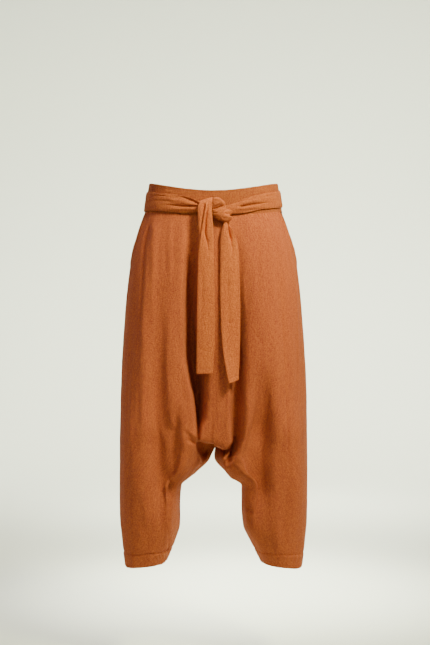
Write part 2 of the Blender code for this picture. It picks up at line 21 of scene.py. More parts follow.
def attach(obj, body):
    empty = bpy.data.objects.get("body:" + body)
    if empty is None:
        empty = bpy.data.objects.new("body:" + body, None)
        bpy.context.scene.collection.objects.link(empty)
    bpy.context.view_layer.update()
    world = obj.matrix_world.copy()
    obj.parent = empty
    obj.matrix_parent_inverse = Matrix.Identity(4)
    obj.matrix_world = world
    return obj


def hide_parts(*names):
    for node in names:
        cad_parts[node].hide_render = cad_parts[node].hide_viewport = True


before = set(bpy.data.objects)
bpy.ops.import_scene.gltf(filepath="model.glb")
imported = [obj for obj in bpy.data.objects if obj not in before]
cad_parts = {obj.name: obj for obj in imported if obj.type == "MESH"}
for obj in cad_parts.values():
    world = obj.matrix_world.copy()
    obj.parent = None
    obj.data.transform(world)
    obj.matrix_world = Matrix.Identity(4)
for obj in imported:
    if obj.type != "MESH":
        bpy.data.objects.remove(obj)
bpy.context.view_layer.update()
LOG = logging.getLogger("harem_pants")
BODY = "root"
CLOTH_UV = "cloth"
SEAM_GAP = 0.0001
SMOOTH_UNDER_DEGREES = 65
TINY = 1e-12
SEED_STEP = 17.31
Numbers = tuple[float, ...]


class Side(Enum):
    """The wearer's side, with the way that it lies along X."""

    RIGHT = -1
    LEFT = 1

    @property
    def word(self) -> str:
        """The side's part of a node's name."""
        return self.name.lower()


class Facing(Enum):
    """The front or back of the garment, with the way that it lies along Y."""

    FRONT = -1
    BACK = 1

    @property
    def word(self) -> str:
        """The facing's part of a node's name."""
        return self.name.lower()


class Held(Enum):
    """How a sheet of cloth is kept in place."""

    HUNG = "hung"
    FOLDED = "folded"


class CreaseKind(Enum):
    """The form of a crease across its line."""

    TROUGH = "trough"
    RIDGE = "ridge"
    CLEFT = "cleft"
    STEP = "step"


TROUGH, RIDGE, CLEFT, STEP = CreaseKind


def ease(share: np.ndarray | float) -> np.ndarray:
    """Rises smoothly from 0 to 1.

    Args:
        share: How far along the rise, clipped to 0 and 1.

    Returns:
        The eased share.
    """
    share = np.clip(share, 0.0, 1.0)
    return share * share * (3 - 2 * share)


def bell(offset: np.ndarray | float) -> np.ndarray:
    """Falls smoothly on both sides of 0.

    Args:
        offset: The distance from the middle, in half widths.

    Returns:
        The height, 1 at the middle.
    """
    return np.exp(-(offset**2))


def table(kind: type, *rows: tuple) -> tuple:
    """Makes a table from bare rows.

    Args:
        kind: What each row is.
        *rows: The values of each row, in the order of its columns.

    Returns:
        The rows.
    """
    return tuple(kind(*row) for row in rows)


class Curve:
    """A smooth curve through a column of values, which never overshoots them."""

    def __init__(self, places: Sequence[float], values: Sequence[float]) -> None:
        """Works out the curve's bend at each value.

        Args:
            places: Where the values lie, rising or falling.
            values: The values there.
        """
        xs, ys = np.asarray(places, float), np.asarray(values, float)
        if xs[0] > xs[-1]:
            xs, ys = xs[::-1], ys[::-1]
        steps = np.diff(xs)
        slopes = np.diff(ys) / steps
        bends = np.concatenate([slopes[:1], np.zeros(len(slopes) - 1), slopes[-1:]])
        for i in range(1, len(slopes)):
            if slopes[i - 1] * slopes[i] > 0:
                before, after = 2 * steps[i] + steps[i - 1], steps[i] + 2 * steps[i - 1]
                bends[i] = (before + after) / (before / slopes[i - 1] + after / slopes[i])
        self.xs, self.ys, self.steps, self.bends = xs, ys, steps, bends

    def __call__(self, place: np.ndarray | float) -> np.ndarray:
        """The curve's value.

        Args:
            place: One place or an array of them.

        Returns:
            The values there, in the same shape.
        """
        place = np.clip(np.asarray(place, float), self.xs[0], self.xs[-1])
        i = np.clip(np.searchsorted(self.xs, place, side="right") - 1, 0, len(self.steps) - 1)
        t = (place - self.xs[i]) / self.steps[i]
        start = self.ys[i] * (1 + 2 * t) * (1 - t) ** 2 + self.steps[i] * self.bends[i] * t * (1 - t) ** 2
        end = self.ys[i + 1] * t * t * (3 - 2 * t) - self.steps[i] * self.bends[i + 1] * t * t * (1 - t)
        return start + end


def curve_of(rows: Sequence[NamedTuple], name: str, key: str | None = None) -> Curve:
    """Makes a curve from one column of a table.

    Args:
        rows: Rows with named columns.
        name: The column that gives the values.
        key: The column that gives their places, or None to count rows.

    Returns:
        The curve.
    """
    places = range(len(rows)) if key is None else [getattr(row, key) for row in rows]
    return Curve(places, [getattr(row, name) for row in rows])


def outward(grid: np.ndarray, turned: int) -> np.ndarray:
    """The outward normal at each point of a grid.

    Args:
        grid: Points in rows and columns.
        turned: 1 or -1, which way round the grid runs.

    Returns:
        Unit normals in the grid's shape.
    """
    normals = turned * np.cross(np.gradient(grid, axis=0), np.gradient(grid, axis=1))
    return normals / np.maximum(np.linalg.norm(normals, axis=2, keepdims=True), TINY)


def rough(points: np.ndarray, scale: Sequence[float], seed: float) -> np.ndarray:
    """Smooth uneven values from -1 to 1 over some points.

    Args:
        points: Points in rows and columns.
        scale: Bumps for each metre along X, Y and Z.
        seed: A number that picks the pattern.

    Returns:
        One value for each point.
    """
    flat = points.reshape(-1, 3) * np.asarray(scale) + seed * SEED_STEP
    return np.array([noise.noise(p) for p in flat.tolist()]).reshape(points.shape[:2])


class Ripple(NamedTuple):
    """Small waves in the cloth: how many for each metre along X, Y and Z, their pattern and their height."""

    scale: Numbers
    seed: float
    height: float

    def over(self, points: np.ndarray, shift: float = 0.0) -> np.ndarray:
        """The waves' depth at some points.

        Args:
            points: Points in rows and columns.
            shift: What is added to the pattern's number.

        Returns:
            One depth for each point.
        """
        return self.height * rough(points, self.scale, self.seed + shift)


class Pucker(NamedTuple):
    """Uneven waves along a seam: how many radians for each metre, how far they stray and how often."""

    many: float
    stray: float
    strays: float

    def along(self, way: np.ndarray, phase: float, shift: float = 0.0) -> np.ndarray:
        """The waves at some places.

        Args:
            way: Lengths along the seam.
            phase: Where the straying starts.
            shift: Where the waves start.

        Returns:
            Values from -1 to 1.
        """
        return np.sin(way * self.many + self.stray * np.sin(way * self.strays + phase) + shift)


class Crease(NamedTuple):
    """A crease by the points of its line, seen from the front or back, and its size."""

    line: tuple[tuple[float, float], ...]
    half_width: float
    depth: float
    kind: CreaseKind = TROUGH
    start_ramp: float = 0.3
    end_ramp: float = 0.3

    def form(self, away: np.ndarray, signed: np.ndarray) -> np.ndarray:
        """The crease's cross-section.

        Args:
            away: Distances from its line, in half widths.
            signed: The same, below 0 on one side of the line.

        Returns:
            The share of the crease's depth at each distance.
        """
        if self.kind is CLEFT:
            return np.exp(-1.6 * np.sqrt(away * away + 0.02) + 0.22) * (away < CREASE_REACH)
        if self.kind is STEP:
            return 1.65 * signed * np.exp(-0.5 * signed * signed)
        return bell(away) * (-1 if self.kind is RIDGE else 1)


CREASE_REACH = 3
LINE_STEPS = 6


def crease_line(grid: np.ndarray, crease: Crease) -> np.ndarray:
    """Lays a crease's line on a surface.

    Args:
        grid: The surface's points.
        crease: The crease, whose line gives X and Z.

    Returns:
        Points of the line on the surface.
    """
    stations = np.arange(len(crease.line))
    fine = np.linspace(0, stations[-1], LINE_STEPS * stations[-1] + 1)
    wanted = np.stack([Curve(stations, values)(fine) for values in zip(*crease.line)], axis=1)
    seen = grid[..., [0, 2]].reshape(-1, 2)
    picks = [int(np.argmin(((seen - place) ** 2).sum(axis=1))) for place in wanted]
    return grid.reshape(-1, 3)[picks]


def crease_depth(grid: np.ndarray, normals: np.ndarray, crease: Crease) -> np.ndarray:
    """How far a crease moves each point of a surface inwards.

    Args:
        grid: The surface's points.
        normals: Its outward normals.
        crease: The crease.

    Returns:
        A depth for each point, below 0 where the crease stands out.
    """
    path = crease_line(grid, crease)
    reach = CREASE_REACH * crease.half_width
    near = np.all((grid > path.min(axis=0) - reach) & (grid < path.max(axis=0) + reach), axis=2)
    points, across = grid[near], normals[near]
    best = np.full(len(points), np.inf)
    signed, share = np.zeros(len(points)), np.zeros(len(points))
    for i, (start, end) in enumerate(zip(path, path[1:])):
        run = end - start
        length = float(run @ run)
        if length < TINY:
            continue
        t = np.clip(((points - start) @ run) / length, 0, 1)
        off = points - start - t[:, None] * run
        gap = np.linalg.norm(off, axis=1)
        closer = gap < best
        best = np.where(closer, gap, best)
        side = np.sign((np.cross(across, run) * off).sum(axis=1))
        signed, share = np.where(closer, gap * side, signed), np.where(closer, i + t, share)
    share /= max(len(path) - 1, 1)
    strength = np.ones(len(points))
    if crease.start_ramp:
        strength *= ease(share / crease.start_ramp)
    if crease.end_ramp:
        strength *= ease((1 - share) / crease.end_ramp)
    depth = np.zeros(grid.shape[:2])
    depth[near] = crease.depth * strength * crease.form(best / crease.half_width, signed / crease.half_width)
    return depth


# Finishes


def feed(tree: bpy.types.NodeTree, node: bpy.types.Node, inputs: dict[str | int, Any]) -> None:
    """Gives a shader node's sockets what they take.

    Args:
        tree: The material's nodes.
        node: The node.
        inputs: A value or another node's socket for each socket.
    """
    for socket, value in inputs.items():
        if isinstance(value, bpy.types.NodeSocket):
            tree.links.new(value, node.inputs[socket])
        else:
            node.inputs[socket].default_value = value


def add_node(
    tree: bpy.types.NodeTree, kind: str, inputs: dict[str | int, Any] | None = None, **settings: Any
) -> bpy.types.Node:
    """Adds a shader node.

    Args:
        tree: The material's nodes.
        kind: The node's type.
        inputs: A value or another node's socket for each socket.
        **settings: The node's own settings.

    Returns:
        The node.
    """
    node = tree.nodes.new(f"ShaderNode{kind}")
    for name, value in settings.items():
        setattr(node, name, value)
    feed(tree, node, inputs or {})
    return node


def reckon(
    tree: bpy.types.NodeTree, operation: str, *values: Any, clamped: bool = False
) -> bpy.types.NodeSocket:
    """Adds a step of arithmetic.

    Args:
        tree: The material's nodes.
        operation: What it does.
        *values: The numbers or sockets that it works on.
        clamped: Whether the result is kept from 0 to 1.

    Returns:
        The result.
    """
    node = add_node(tree, "Math", dict(enumerate(values)), operation=operation, use_clamp=clamped)
    return node.outputs["Value"]


def speckle(tree: bpy.types.NodeTree, scale: float) -> bpy.types.NodeSocket:
    """Adds even noise through the whole object.

    Args:
        tree: The material's nodes.
        scale: Marks for each metre.

    Returns:
        The noise's value, from 0 to 1.
    """
    solid = add_node(tree, "TexCoord").outputs["Object"]
    return add_node(tree, "TexNoise", {"Vector": solid, "Scale": scale}).outputs["Fac"]


def blend(
    tree: bpy.types.NodeTree, low: Numbers, high: Numbers, share: bpy.types.NodeSocket
) -> bpy.types.NodeSocket:
    """Adds a mix of two colours.

    Args:
        tree: The material's nodes.
        low: The colour where the share is 0.
        high: The colour where it is 1.
        share: The share of the second colour.

    Returns:
        The mixed colour.
    """
    mix = add_node(tree, "Mix", {"A": (*low, 1), "B": (*high, 1), "Factor": share}, data_type="RGBA")
    return mix.outputs["Result"]


def new_material(
    name: str, roughness: float
) -> tuple[bpy.types.Material, bpy.types.NodeTree, bpy.types.Node]:
    """Makes a material.

    Args:
        name: Its name.
        roughness: How matt it is.

    Returns:
        The material, its nodes and its main shader.
    """
    material = bpy.data.materials.new(name)
    material.use_nodes = True
    shader = material.node_tree.nodes["Principled BSDF"]
    shader.inputs["Roughness"].default_value = roughness
    return material, material.node_tree, shader


class Marks(NamedTuple):
    """Marks in the cloth: how many for each metre along each coordinate, their lean and their detail."""

    scale: Numbers
    lean: float
    detail: float


FADING = Marks((5.0, 5.0, 3.0), 0.0, 2.0)
STREAKS = Marks((70.0, 7.0, 1.0), 0.06, 3.0)
CREPE = Marks((430.0, 300.0, 1.0), 0.45, 3.5)
SLUBS = Marks((330.0, 90.0, 1.0), 0.12, 2.0)


@dataclass(frozen=True)
class ClothFinish:
    """Woven crepe cloth of one colour."""

    name: str
    colour: Numbers
    deep: Numbers
    fading: float = 0.1
    streaks: float = 0.14
    grain: float = 0.54
    even: float = 0.62
    roughness: float = 0.92
    gloss: float = 0.12
    sheen: float = 0.03
    sheen_roughness: float = 0.45
    sheen_tint: Numbers = (1.0, 0.72, 0.5)
    bump: float = 0.6
    relief: float = 0.0012
    crepe_relief: float = 0.8
    slub_relief: float = 0.35
    weave_relief: float = 0.25
    thread_pitch: float = 0.0008

    def material(self) -> bpy.types.Material:
        """Builds the cloth's nodes: broad fading, lengthwise streaks, crepe grain and weave, with relief.

        Returns:
            The material.
        """
        material, tree, shader = new_material(self.name, self.roughness)
        solid = add_node(tree, "TexCoord").outputs["Object"]
        flat = add_node(tree, "UVMap", uv_map=CLOTH_UV).outputs["UV"]
        fade, streak = self._marks(tree, solid, FADING), self._marks(tree, flat, STREAKS)
        crepe, slub = self._marks(tree, flat, CREPE), self._marks(tree, flat, SLUBS)
        shades = (fade, self.fading), (streak, self.streaks), (crepe, self.grain), (slub, 0.5 * self.grain)
        share = reckon(tree, "ADD", self._summed(tree, shades), self.even, clamped=True)
        weave = self._weave(tree, flat)
        reliefs = (crepe, self.crepe_relief), (slub, self.slub_relief), (weave, self.weave_relief)
        height = self._summed(tree, reliefs)
        bump = add_node(tree, "Bump", {"Strength": self.bump, "Distance": self.relief, "Height": height})
        looks = {
            "Specular IOR Level": self.gloss,
            "Sheen Weight": self.sheen,
            "Sheen Roughness": self.sheen_roughness,
            "Sheen Tint": (*self.sheen_tint, 1),
            "Base Color": blend(tree, self.deep, self.colour, share),
            "Normal": bump.outputs["Normal"],
        }
        feed(tree, shader, looks)
        return material

    @staticmethod
    def _marks(
        tree: bpy.types.NodeTree, coords: bpy.types.NodeSocket, marks: Marks
    ) -> bpy.types.NodeSocket:
        """Adds noise that is stretched along the cloth.

        Args:
            tree: The material's nodes.
            coords: Coordinates in metres.
            marks: The noise's form.

        Returns:
            The noise's value, from 0 to 1.
        """
        lean = add_node(tree, "VectorRotate", {"Vector": coords, "Angle": marks.lean})
        factors = {0: lean.outputs["Vector"], 1: marks.scale}
        sized = add_node(tree, "VectorMath", factors, operation="MULTIPLY")
        inputs = {"Vector": sized.outputs["Vector"], "Scale": 1.0, "Detail": marks.detail}
        return add_node(tree, "TexNoise", inputs).outputs["Fac"]

    def _weave(self, tree: bpy.types.NodeTree, flat: bpy.types.NodeSocket) -> bpy.types.NodeSocket:
        """Adds plain weave, over and under.

        Args:
            tree: The material's nodes.
            flat: The cloth's UV, in metres.

        Returns:
            The weave's height, from 0 to 1.
        """
        split = add_node(tree, "SeparateXYZ", {"Vector": flat})
        turns = [reckon(tree, "MULTIPLY", split.outputs[axis], math.pi / self.thread_pitch) for axis in "XY"]
        both = reckon(tree, "MULTIPLY", *(reckon(tree, "SINE", turn) for turn in turns))
        return reckon(tree, "MULTIPLY_ADD", both, 0.5, 0.5)

    @staticmethod
    def _summed(
        tree: bpy.types.NodeTree, parts: Sequence[tuple[bpy.types.NodeSocket, float]]
    ) -> bpy.types.NodeSocket:
        """Adds patterns up, each centred on 0.

        Args:
            tree: The material's nodes.
            parts: Each pattern, from 0 to 1, and how strong it is.

        Returns:
            The sum.
        """
        centred = [reckon(tree, "MULTIPLY_ADD", value, 4 * amount, -2 * amount) for value, amount in parts]
        return reduce(lambda total, part: reckon(tree, "ADD", part, total), centred)


PANEL_CLOTH = ClothFinish("rust_crepe_panel", (0.57, 0.143, 0.036), (0.303, 0.055, 0.026))
# Darker copy of the same crepe: painted shade on the waistband.
BAND_SHADED_CLOTH = ClothFinish("rust_crepe_band", (0.47, 0.125, 0.029), (0.25, 0.05, 0.018))
# Lighter copy of the same crepe: painted light on the tails.
SASH_LIT_CLOTH = ClothFinish("rust_crepe_sash", (0.7, 0.186, 0.041), (0.375, 0.073, 0.023))
# Copy darker than the sash copy: painted shade on the stretches over the waistband and on the knot's lobes.
WRAP_SHADED_CLOTH = ClothFinish("rust_crepe_wrap", (0.555, 0.147, 0.033), (0.295, 0.057, 0.02))
# Darker copy of the same crepe: painted shade on the hip pieces behind the pocket mouths.
HIP_SHADED_CLOTH = ClothFinish("rust_crepe_hip", (0.46, 0.112, 0.028), (0.25, 0.048, 0.0155))


@dataclass(frozen=True)
class ThreadFinish:
    """Sewing thread, a shade darker than the cloth."""

    name: str = "rust_thread"
    colour: Numbers = (0.38, 0.09, 0.022)
    roughness: float = 0.7
    twist_scale: float = 900.0
    shades: tuple[float, float] = (0.7, 1.3)

    def material(self) -> bpy.types.Material:
        """Builds the thread's nodes, with its twist as lighter and darker marks.

        Returns:
            The material.
        """
        material, tree, shader = new_material(self.name, self.roughness)
        low, high = (tuple(shade * c for c in self.colour) for shade in self.shades)
        feed(tree, shader, {"Base Color": blend(tree, low, high, speckle(tree, self.twist_scale))})
        return material


# Sheets and stitches


def reshape(mesh: bpy.types.Mesh, points: np.ndarray, normals: np.ndarray, flat: np.ndarray) -> None:
    """Moves a primitive's points, lays its UV out and turns its faces outwards.

    Args:
        mesh: The primitive's mesh.
        points: Where its points go.
        normals: The outward normals there.
        flat: Each point's place on the flat cloth, in metres.
    """
    mesh.vertices.foreach_set("co", points.ravel())
    layer = mesh.uv_layers[0]
    layer.name = CLOTH_UV
    corner = np.empty(len(mesh.loops), dtype=int)
    mesh.loops.foreach_get("vertex_index", corner)
    layer.data.foreach_set("uv", flat[corner].ravel())
    mesh.update()
    middle = mesh.polygons[len(mesh.polygons) // 2]
    if Vector(normals[middle.vertices[0]]).dot(middle.normal) < 0:
        mesh.flip_normals()


@dataclass
class Sheet:
    """One sheet of cloth: a grid of points that is thickened inwards."""

    name: str
    grid: np.ndarray
    normals: np.ndarray
    cloth: float
    finish: bpy.types.Material
    nodes: tuple[str, ...]
    flat: tuple[float, float]
    held: Held
    area: float | None = None
    rests_on: tuple[str, ...] = ()

    def metric(self) -> np.ndarray:
        """Lays the grid out flat.

        Returns:
            Each point's distance across and down the cloth, in metres.
        """
        across = np.linalg.norm(np.diff(self.grid, axis=1), axis=2)
        across = np.concatenate([np.zeros((len(across), 1)), np.cumsum(across, axis=1)], axis=1)
        across -= across[:, across.shape[1] // 2][:, None]
        down = np.linalg.norm(np.diff(self.grid, axis=0), axis=2)
        down = np.concatenate([np.zeros((1, down.shape[1])), np.cumsum(down, axis=0)], axis=0)
        return np.stack([across, -down], axis=2)

    def build(self) -> bpy.types.Object:
        """Returns:
            The finished piece.
        """
        rows, columns = self.grid.shape[:2]
        bpy.ops.object.select_all(action="DESELECT")
        bpy.ops.mesh.primitive_grid_add(x_subdivisions=columns - 1, y_subdivisions=rows - 1, size=2)
        piece = bpy.context.active_object
        piece.name = self.name
        mesh = piece.data
        start = np.empty(len(mesh.vertices) * 3)
        mesh.vertices.foreach_get("co", start)
        start = start.reshape(-1, 3)
        j = np.rint((start[:, 0] + 1) / 2 * (columns - 1)).astype(int)
        i = np.rint((1 - start[:, 1]) / 2 * (rows - 1)).astype(int)
        reshape(mesh, self.grid[i, j], self.normals[i, j], self.metric()[i, j])
        wall = piece.modifiers.new("cloth", "SOLIDIFY")
        wall.thickness = self.cloth
        wall.offset = -1
        bpy.ops.object.modifier_apply(modifier=wall.name)
        bpy.ops.object.shade_smooth_by_angle(angle=math.radians(SMOOTH_UNDER_DEGREES))
        mesh.materials.append(self.finish)
        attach(piece, BODY)
        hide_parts(*self.nodes)
        LOG.info("%s: %d faces", self.name, len(mesh.polygons))
        return piece


@dataclass
class Stitching:
    """Rows of machine stitches along lines on the cloth."""

    finish: bpy.types.Material
    pitch: float = 0.0034
    length: float = 0.0025
    radius: float = 0.00028
    look_ahead: float = 0.0005
    stands_up: float = 0.3

    def _one(self) -> tuple[np.ndarray, list[tuple[int, ...]]]:
        """Models one stitch along X.

        Returns:
            Its points and faces.
        """
        bpy.ops.object.select_all(action="DESELECT")
        along_x = (0, math.pi / 2, 0)
        bpy.ops.mesh.primitive_uv_sphere_add(segments=6, ring_count=5, radius=1.0, rotation=along_x)
        stitch = bpy.context.active_object
        bpy.ops.object.transform_apply(location=False, rotation=True, scale=False)
        points = np.array([v.co for v in stitch.data.vertices])
        points *= (self.length / 2, self.radius, self.radius)
        faces = [tuple(p.vertices) for p in stitch.data.polygons]
        bpy.data.objects.remove(stitch, do_unlink=True)
        return points, faces

    def sew(self, name: str, lines: Sequence[tuple[np.ndarray, np.ndarray]], slot: str) -> bpy.types.Object:
        """Lays stitches end to end along some lines.

        Args:
            name: The piece's name.
            lines: Points of each line, with the cloth's outward normals there.
            slot: A material slot's name; not used.

        Returns:
            One piece with all the stitches.
        """
        shape, faces = self._one()
        points: list[np.ndarray] = []
        made: list[tuple[int, ...]] = []
        for line, normals in lines:
            runs = np.linalg.norm(np.diff(line, axis=0), axis=1)
            along = np.concatenate([[0.0], np.cumsum(runs)])
            for place in np.arange(self.pitch / 2, along[-1] - self.pitch / 2, self.pitch):
                middle, ahead, out = (
                    np.array([np.interp(at, along, values[:, k]) for k in range(3)])
                    for at, values in ((place, line), (place + self.look_ahead, line), (place, normals))
                )
                run = ahead - middle
                run /= max(np.linalg.norm(run), TINY)
                out -= run * (out @ run)
                out /= max(np.linalg.norm(out), TINY)
                axes = np.stack([run, np.cross(out, run), out])
                first = len(made) // len(faces) * len(shape)
                points.append(shape @ axes + middle + out * self.radius * self.stands_up)
                made += [tuple(first + k for k in face) for face in faces]
        mesh = bpy.data.meshes.new(name)
        mesh.from_pydata(np.concatenate(points).tolist(), [], made)
        mesh.shade_smooth()
        mesh.materials.append(self.finish)
        piece = bpy.data.objects.new(name, mesh)
        bpy.context.scene.collection.objects.link(piece)
        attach(piece, BODY)
        LOG.info("%s: %d stitches", name, len(made) // len(faces))
        return piece


# The trousers


class Section(NamedTuple):
    """A section of the trousers, with the angle that a panel turns through and how it is squared."""

    side_z: float
    half_width: float
    turn: float
    fullness: float
    right_x: float
    left_x: float
    seam_z: float
    level: float
    bend: float


class Depth(NamedTuple):
    """How far a section's front or back stands off the side seam, and where its centre seam lies."""

    panel: float
    seam: float = 0.0


class CentreFold(NamedTuple):
    """The deep fold beside the centre pleat at one height, with its half widths inwards and outwards."""

    z: float
    away: float
    inner: float
    outer: float
    depth: float
    over: float = 0.0


class Pouch(NamedTuple):
    """A place where the foot of the pleat bellies out."""

    away: float
    z: float
    wide: float
    high: float
    out: float


class Hang(NamedTuple):
    """How far the foot of the pleat hangs below the rest, and where."""

    away: float
    wide: float
    drop: float


class SoftFold(NamedTuple):
    """A broad soft fold that runs down a panel."""

    top: float
    foot: float
    across_top: float
    across_foot: float
    half_width: float
    depth: float


SECTIONS = table(
    Section,
    (-0.029, 0.1545, 90, 0.07, 0.0, 0.0, -0.043, 0.0, 0.55),
    (-0.072, 0.17, 90, 0.07, 0.0, 0.0, -0.08, 0.0, 0.55),
    (-0.126, 0.1832, 90, 0.075, 0.0, 0.0, -0.131, 0.0, 0.55),
    (-0.207, 0.1945, 90, 0.085, 0.0, 0.0, -0.21, 0.1, 0.55),
    (-0.315, 0.2025, 90, 0.1, 0.0, 0.0, -0.322, 0.25, 0.55),
    (-0.395, 0.207, 90, 0.115, 0.0, 0.0, -0.42, 0.45, 0.6),
    (-0.44, 0.2082, 91, 0.125, 0.0, 0.0, -0.49, 0.6, 0.7),
    (-0.472, 0.2088, 97, 0.13, 0.0, 0.0, -0.536, 0.62, 0.75),
    (-0.496, 0.2091, 112, 0.125, 0.0, 0.0, -0.545, 0.6, 0.76),
    (-0.518, 0.2094, 132, 0.115, 0.0, 0.0, -0.5495, 0.56, 0.74),
    (-0.545, 0.2097, 154, 0.1, 0.009, 0.003, -0.582, 0.5, 0.72),
    (-0.58, 0.21, 171, 0.08, 0.0395, 0.031, -0.613, 0.45, 0.7),
    (-0.625, 0.2104, 180, 0.06, 0.073, 0.064, -0.643, 0.3, 0.6),
    (-0.675, 0.2104, 180, 0.05, 0.077, 0.064, -0.688, 0.2, 0.6),
    (-0.722, 0.2094, 180, 0.04, 0.077, 0.067, -0.728, 0.1, 0.6),
    (-0.768, 0.205, 180, 0.04, 0.087, 0.084, -0.766, 0.0, 0.6),
    (-0.8225, 0.1985, 180, 0.04, 0.106, 0.107, -0.8115, 0.0, 0.6),
)
CROTCH = 9

DEPTHS = {
    Facing.FRONT: table(
        Depth,
        (0.104, 0.104), (0.113, 0.112), (0.121, 0.117), (0.128, 0.119), (0.131, 0.118), (0.129, 0.116),
        (0.127, 0.114), (0.125, 0.108), (0.123, 0.06), (0.121,), (0.117,), (0.113,), (0.107,), (0.1,),
        (0.09,), (0.077,), (0.06,),
    ),
    Facing.BACK: table(
        Depth,
        (0.095, 0.095), (0.112, 0.11), (0.128, 0.124), (0.138, 0.13), (0.135, 0.122), (0.129, 0.114),
        (0.125, 0.107), (0.121, 0.09), (0.117, 0.048), (0.114,), (0.11,), (0.106,), (0.1,), (0.094,),
        (0.085,), (0.073,), (0.057,),
    ),
}
BACK_FOLD = table(
    CentreFold,
    (-0.043, 0.058, 0.024, 0.024, 0.0),
    (-0.13, 0.056, 0.024, 0.024, 0.003),
    (-0.21, 0.052, 0.022, 0.022, 0.009),
    (-0.32, 0.047, 0.018, 0.018, 0.018),
    (-0.43, 0.043, 0.014, 0.015, 0.026, 0.003),
    (-0.5, 0.041, 0.012, 0.013, 0.024, 0.004),
    (-0.548, 0.038, 0.012, 0.013, 0.008, 0.001),
    (-0.575, 0.036, 0.012, 0.013, 0.0),
)
CENTRE_FOLDS = {
    (Facing.FRONT, Side.RIGHT): table(
        CentreFold,
        (-0.043, 0.04, 0.022, 0.022, 0.001),
        (-0.1, 0.043, 0.016, 0.018, 0.012),
        (-0.15, 0.0455, 0.013, 0.016, 0.028),
        (-0.217, 0.0465, 0.0115, 0.015, 0.044),
        (-0.28, 0.0465, 0.0115, 0.0145, 0.05),
        (-0.35, 0.045, 0.0195, 0.015, 0.06, 0.001),
        (-0.4, 0.0412, 0.022, 0.012, 0.068, 0.003),
        (-0.443, 0.0382, 0.021, 0.0092, 0.07, 0.005),
        (-0.487, 0.0367, 0.015, 0.0068, 0.062, 0.005),
        (-0.508, 0.0362, 0.007, 0.005, 0.046, 0.005),
        (-0.525, 0.0345, 0.005, 0.0036, 0.02, 0.002),
        (-0.539, 0.0345, 0.01, 0.0034, 0.026, 0.002),
        (-0.553, 0.033, 0.014, 0.0038, 0.038, 0.002),
        (-0.567, 0.0275, 0.013, 0.0038, 0.036, 0.002),
        (-0.58, 0.0225, 0.009, 0.0045, 0.018, 0.001),
        (-0.6, 0.017, 0.006, 0.006, 0.0),
    ),
    (Facing.FRONT, Side.LEFT): table(
        CentreFold,
        (-0.043, 0.056, 0.022, 0.022, 0.001),
        (-0.13, 0.056, 0.022, 0.022, 0.006),
        (-0.21, 0.056, 0.02, 0.02, 0.012),
        (-0.32, 0.0545, 0.017, 0.016, 0.02),
        (-0.4, 0.052, 0.013, 0.014, 0.032),
        (-0.45, 0.0508, 0.012, 0.013, 0.036),
        (-0.5, 0.0505, 0.0115, 0.0125, 0.036),
        (-0.525, 0.0498, 0.0105, 0.011, 0.035),
        (-0.539, 0.0457, 0.0095, 0.01, 0.033),
        (-0.553, 0.042, 0.0085, 0.009, 0.029),
        (-0.568, 0.031, 0.0075, 0.008, 0.02),
        (-0.583, 0.019, 0.0065, 0.007, 0.009),
        (-0.6, 0.015, 0.006, 0.006, 0.0),
    ),
    (Facing.BACK, Side.RIGHT): BACK_FOLD,
    (Facing.BACK, Side.LEFT): BACK_FOLD,
}
PLAIN_WALLS = (2.0, 2.0)
FOLD_WALLS = {(Facing.FRONT, Side.RIGHT): (1.9, 3.0), (Facing.FRONT, Side.LEFT): (5.0, 2.0)}
POUCHES = {
    (Facing.FRONT, Side.LEFT): table(
        Pouch,
        (0.019, -0.568, 0.013, 0.013, 0.045),
    ),
    (Facing.FRONT, Side.RIGHT): table(
        Pouch,
        (0.0125, -0.564, 0.01, 0.012, -0.022),
        (0.0435, -0.536, 0.0155, 0.02, 0.0115),
        (0.038, -0.54, 0.01, 0.012, 0.009),
        (0.041, -0.561, 0.013, 0.015, 0.009),
    ),
}
HANG_TOP_Z = -0.44
HANGS = {(Facing.FRONT, Side.LEFT): Hang(0.027, 0.022, 0.0165)}
SOFT_FOLDS = {
    (Facing.FRONT, Side.RIGHT): table(
        SoftFold,
        (-0.26, -0.76, 0.64, 0.66, 0.055, 0.005),
        (-0.54, -0.72, 0.8, 0.76, 0.05, 0.004),
        (-0.1, -0.55, 0.33, 0.3, 0.06, 0.003),
    ),
    (Facing.FRONT, Side.LEFT): table(
        SoftFold,
        (-0.36, -0.68, 0.63, 0.66, 0.05, 0.0075),
        (-0.07, -0.34, 0.5, 0.46, 0.06, 0.003),
        (-0.5, -0.79, 0.42, 0.4, 0.06, 0.003),
    ),
    (Facing.BACK, Side.RIGHT): table(
        SoftFold,
        (-0.14, -0.6, 0.46, 0.38, 0.07, 0.0055),
        (-0.26, -0.62, 0.24, 0.22, 0.06, 0.004),
        (-0.56, -0.78, 0.66, 0.58, 0.07, 0.0045),
    ),
    (Facing.BACK, Side.LEFT): table(
        SoftFold,
        (-0.18, -0.64, 0.5, 0.42, 0.07, 0.005),
        (-0.1, -0.5, 0.26, 0.25, 0.06, 0.004),
        (-0.58, -0.78, 0.64, 0.6, 0.07, 0.005),
    ),
}


RIPPLES = table(Ripple, ((34, 34, 5), 0, 0.0018), ((85, 85, 16), 3, 0.0008), ((190, 190, 60), 7, 0.0003))
HEM_PUCKER = Pucker(560, 3, 61)
WAIST_PUCKER = Pucker(690, 2.5, 83)
COLUMNS = {
    Facing.FRONT: ((0.0, 0.76, 86), (0.76, 0.96, 72), (0.96, 1.0, 10)),
    Facing.BACK: ((0.0, 0.78, 64), (0.78, 0.94, 32), (0.94, 1.0, 9)),
}

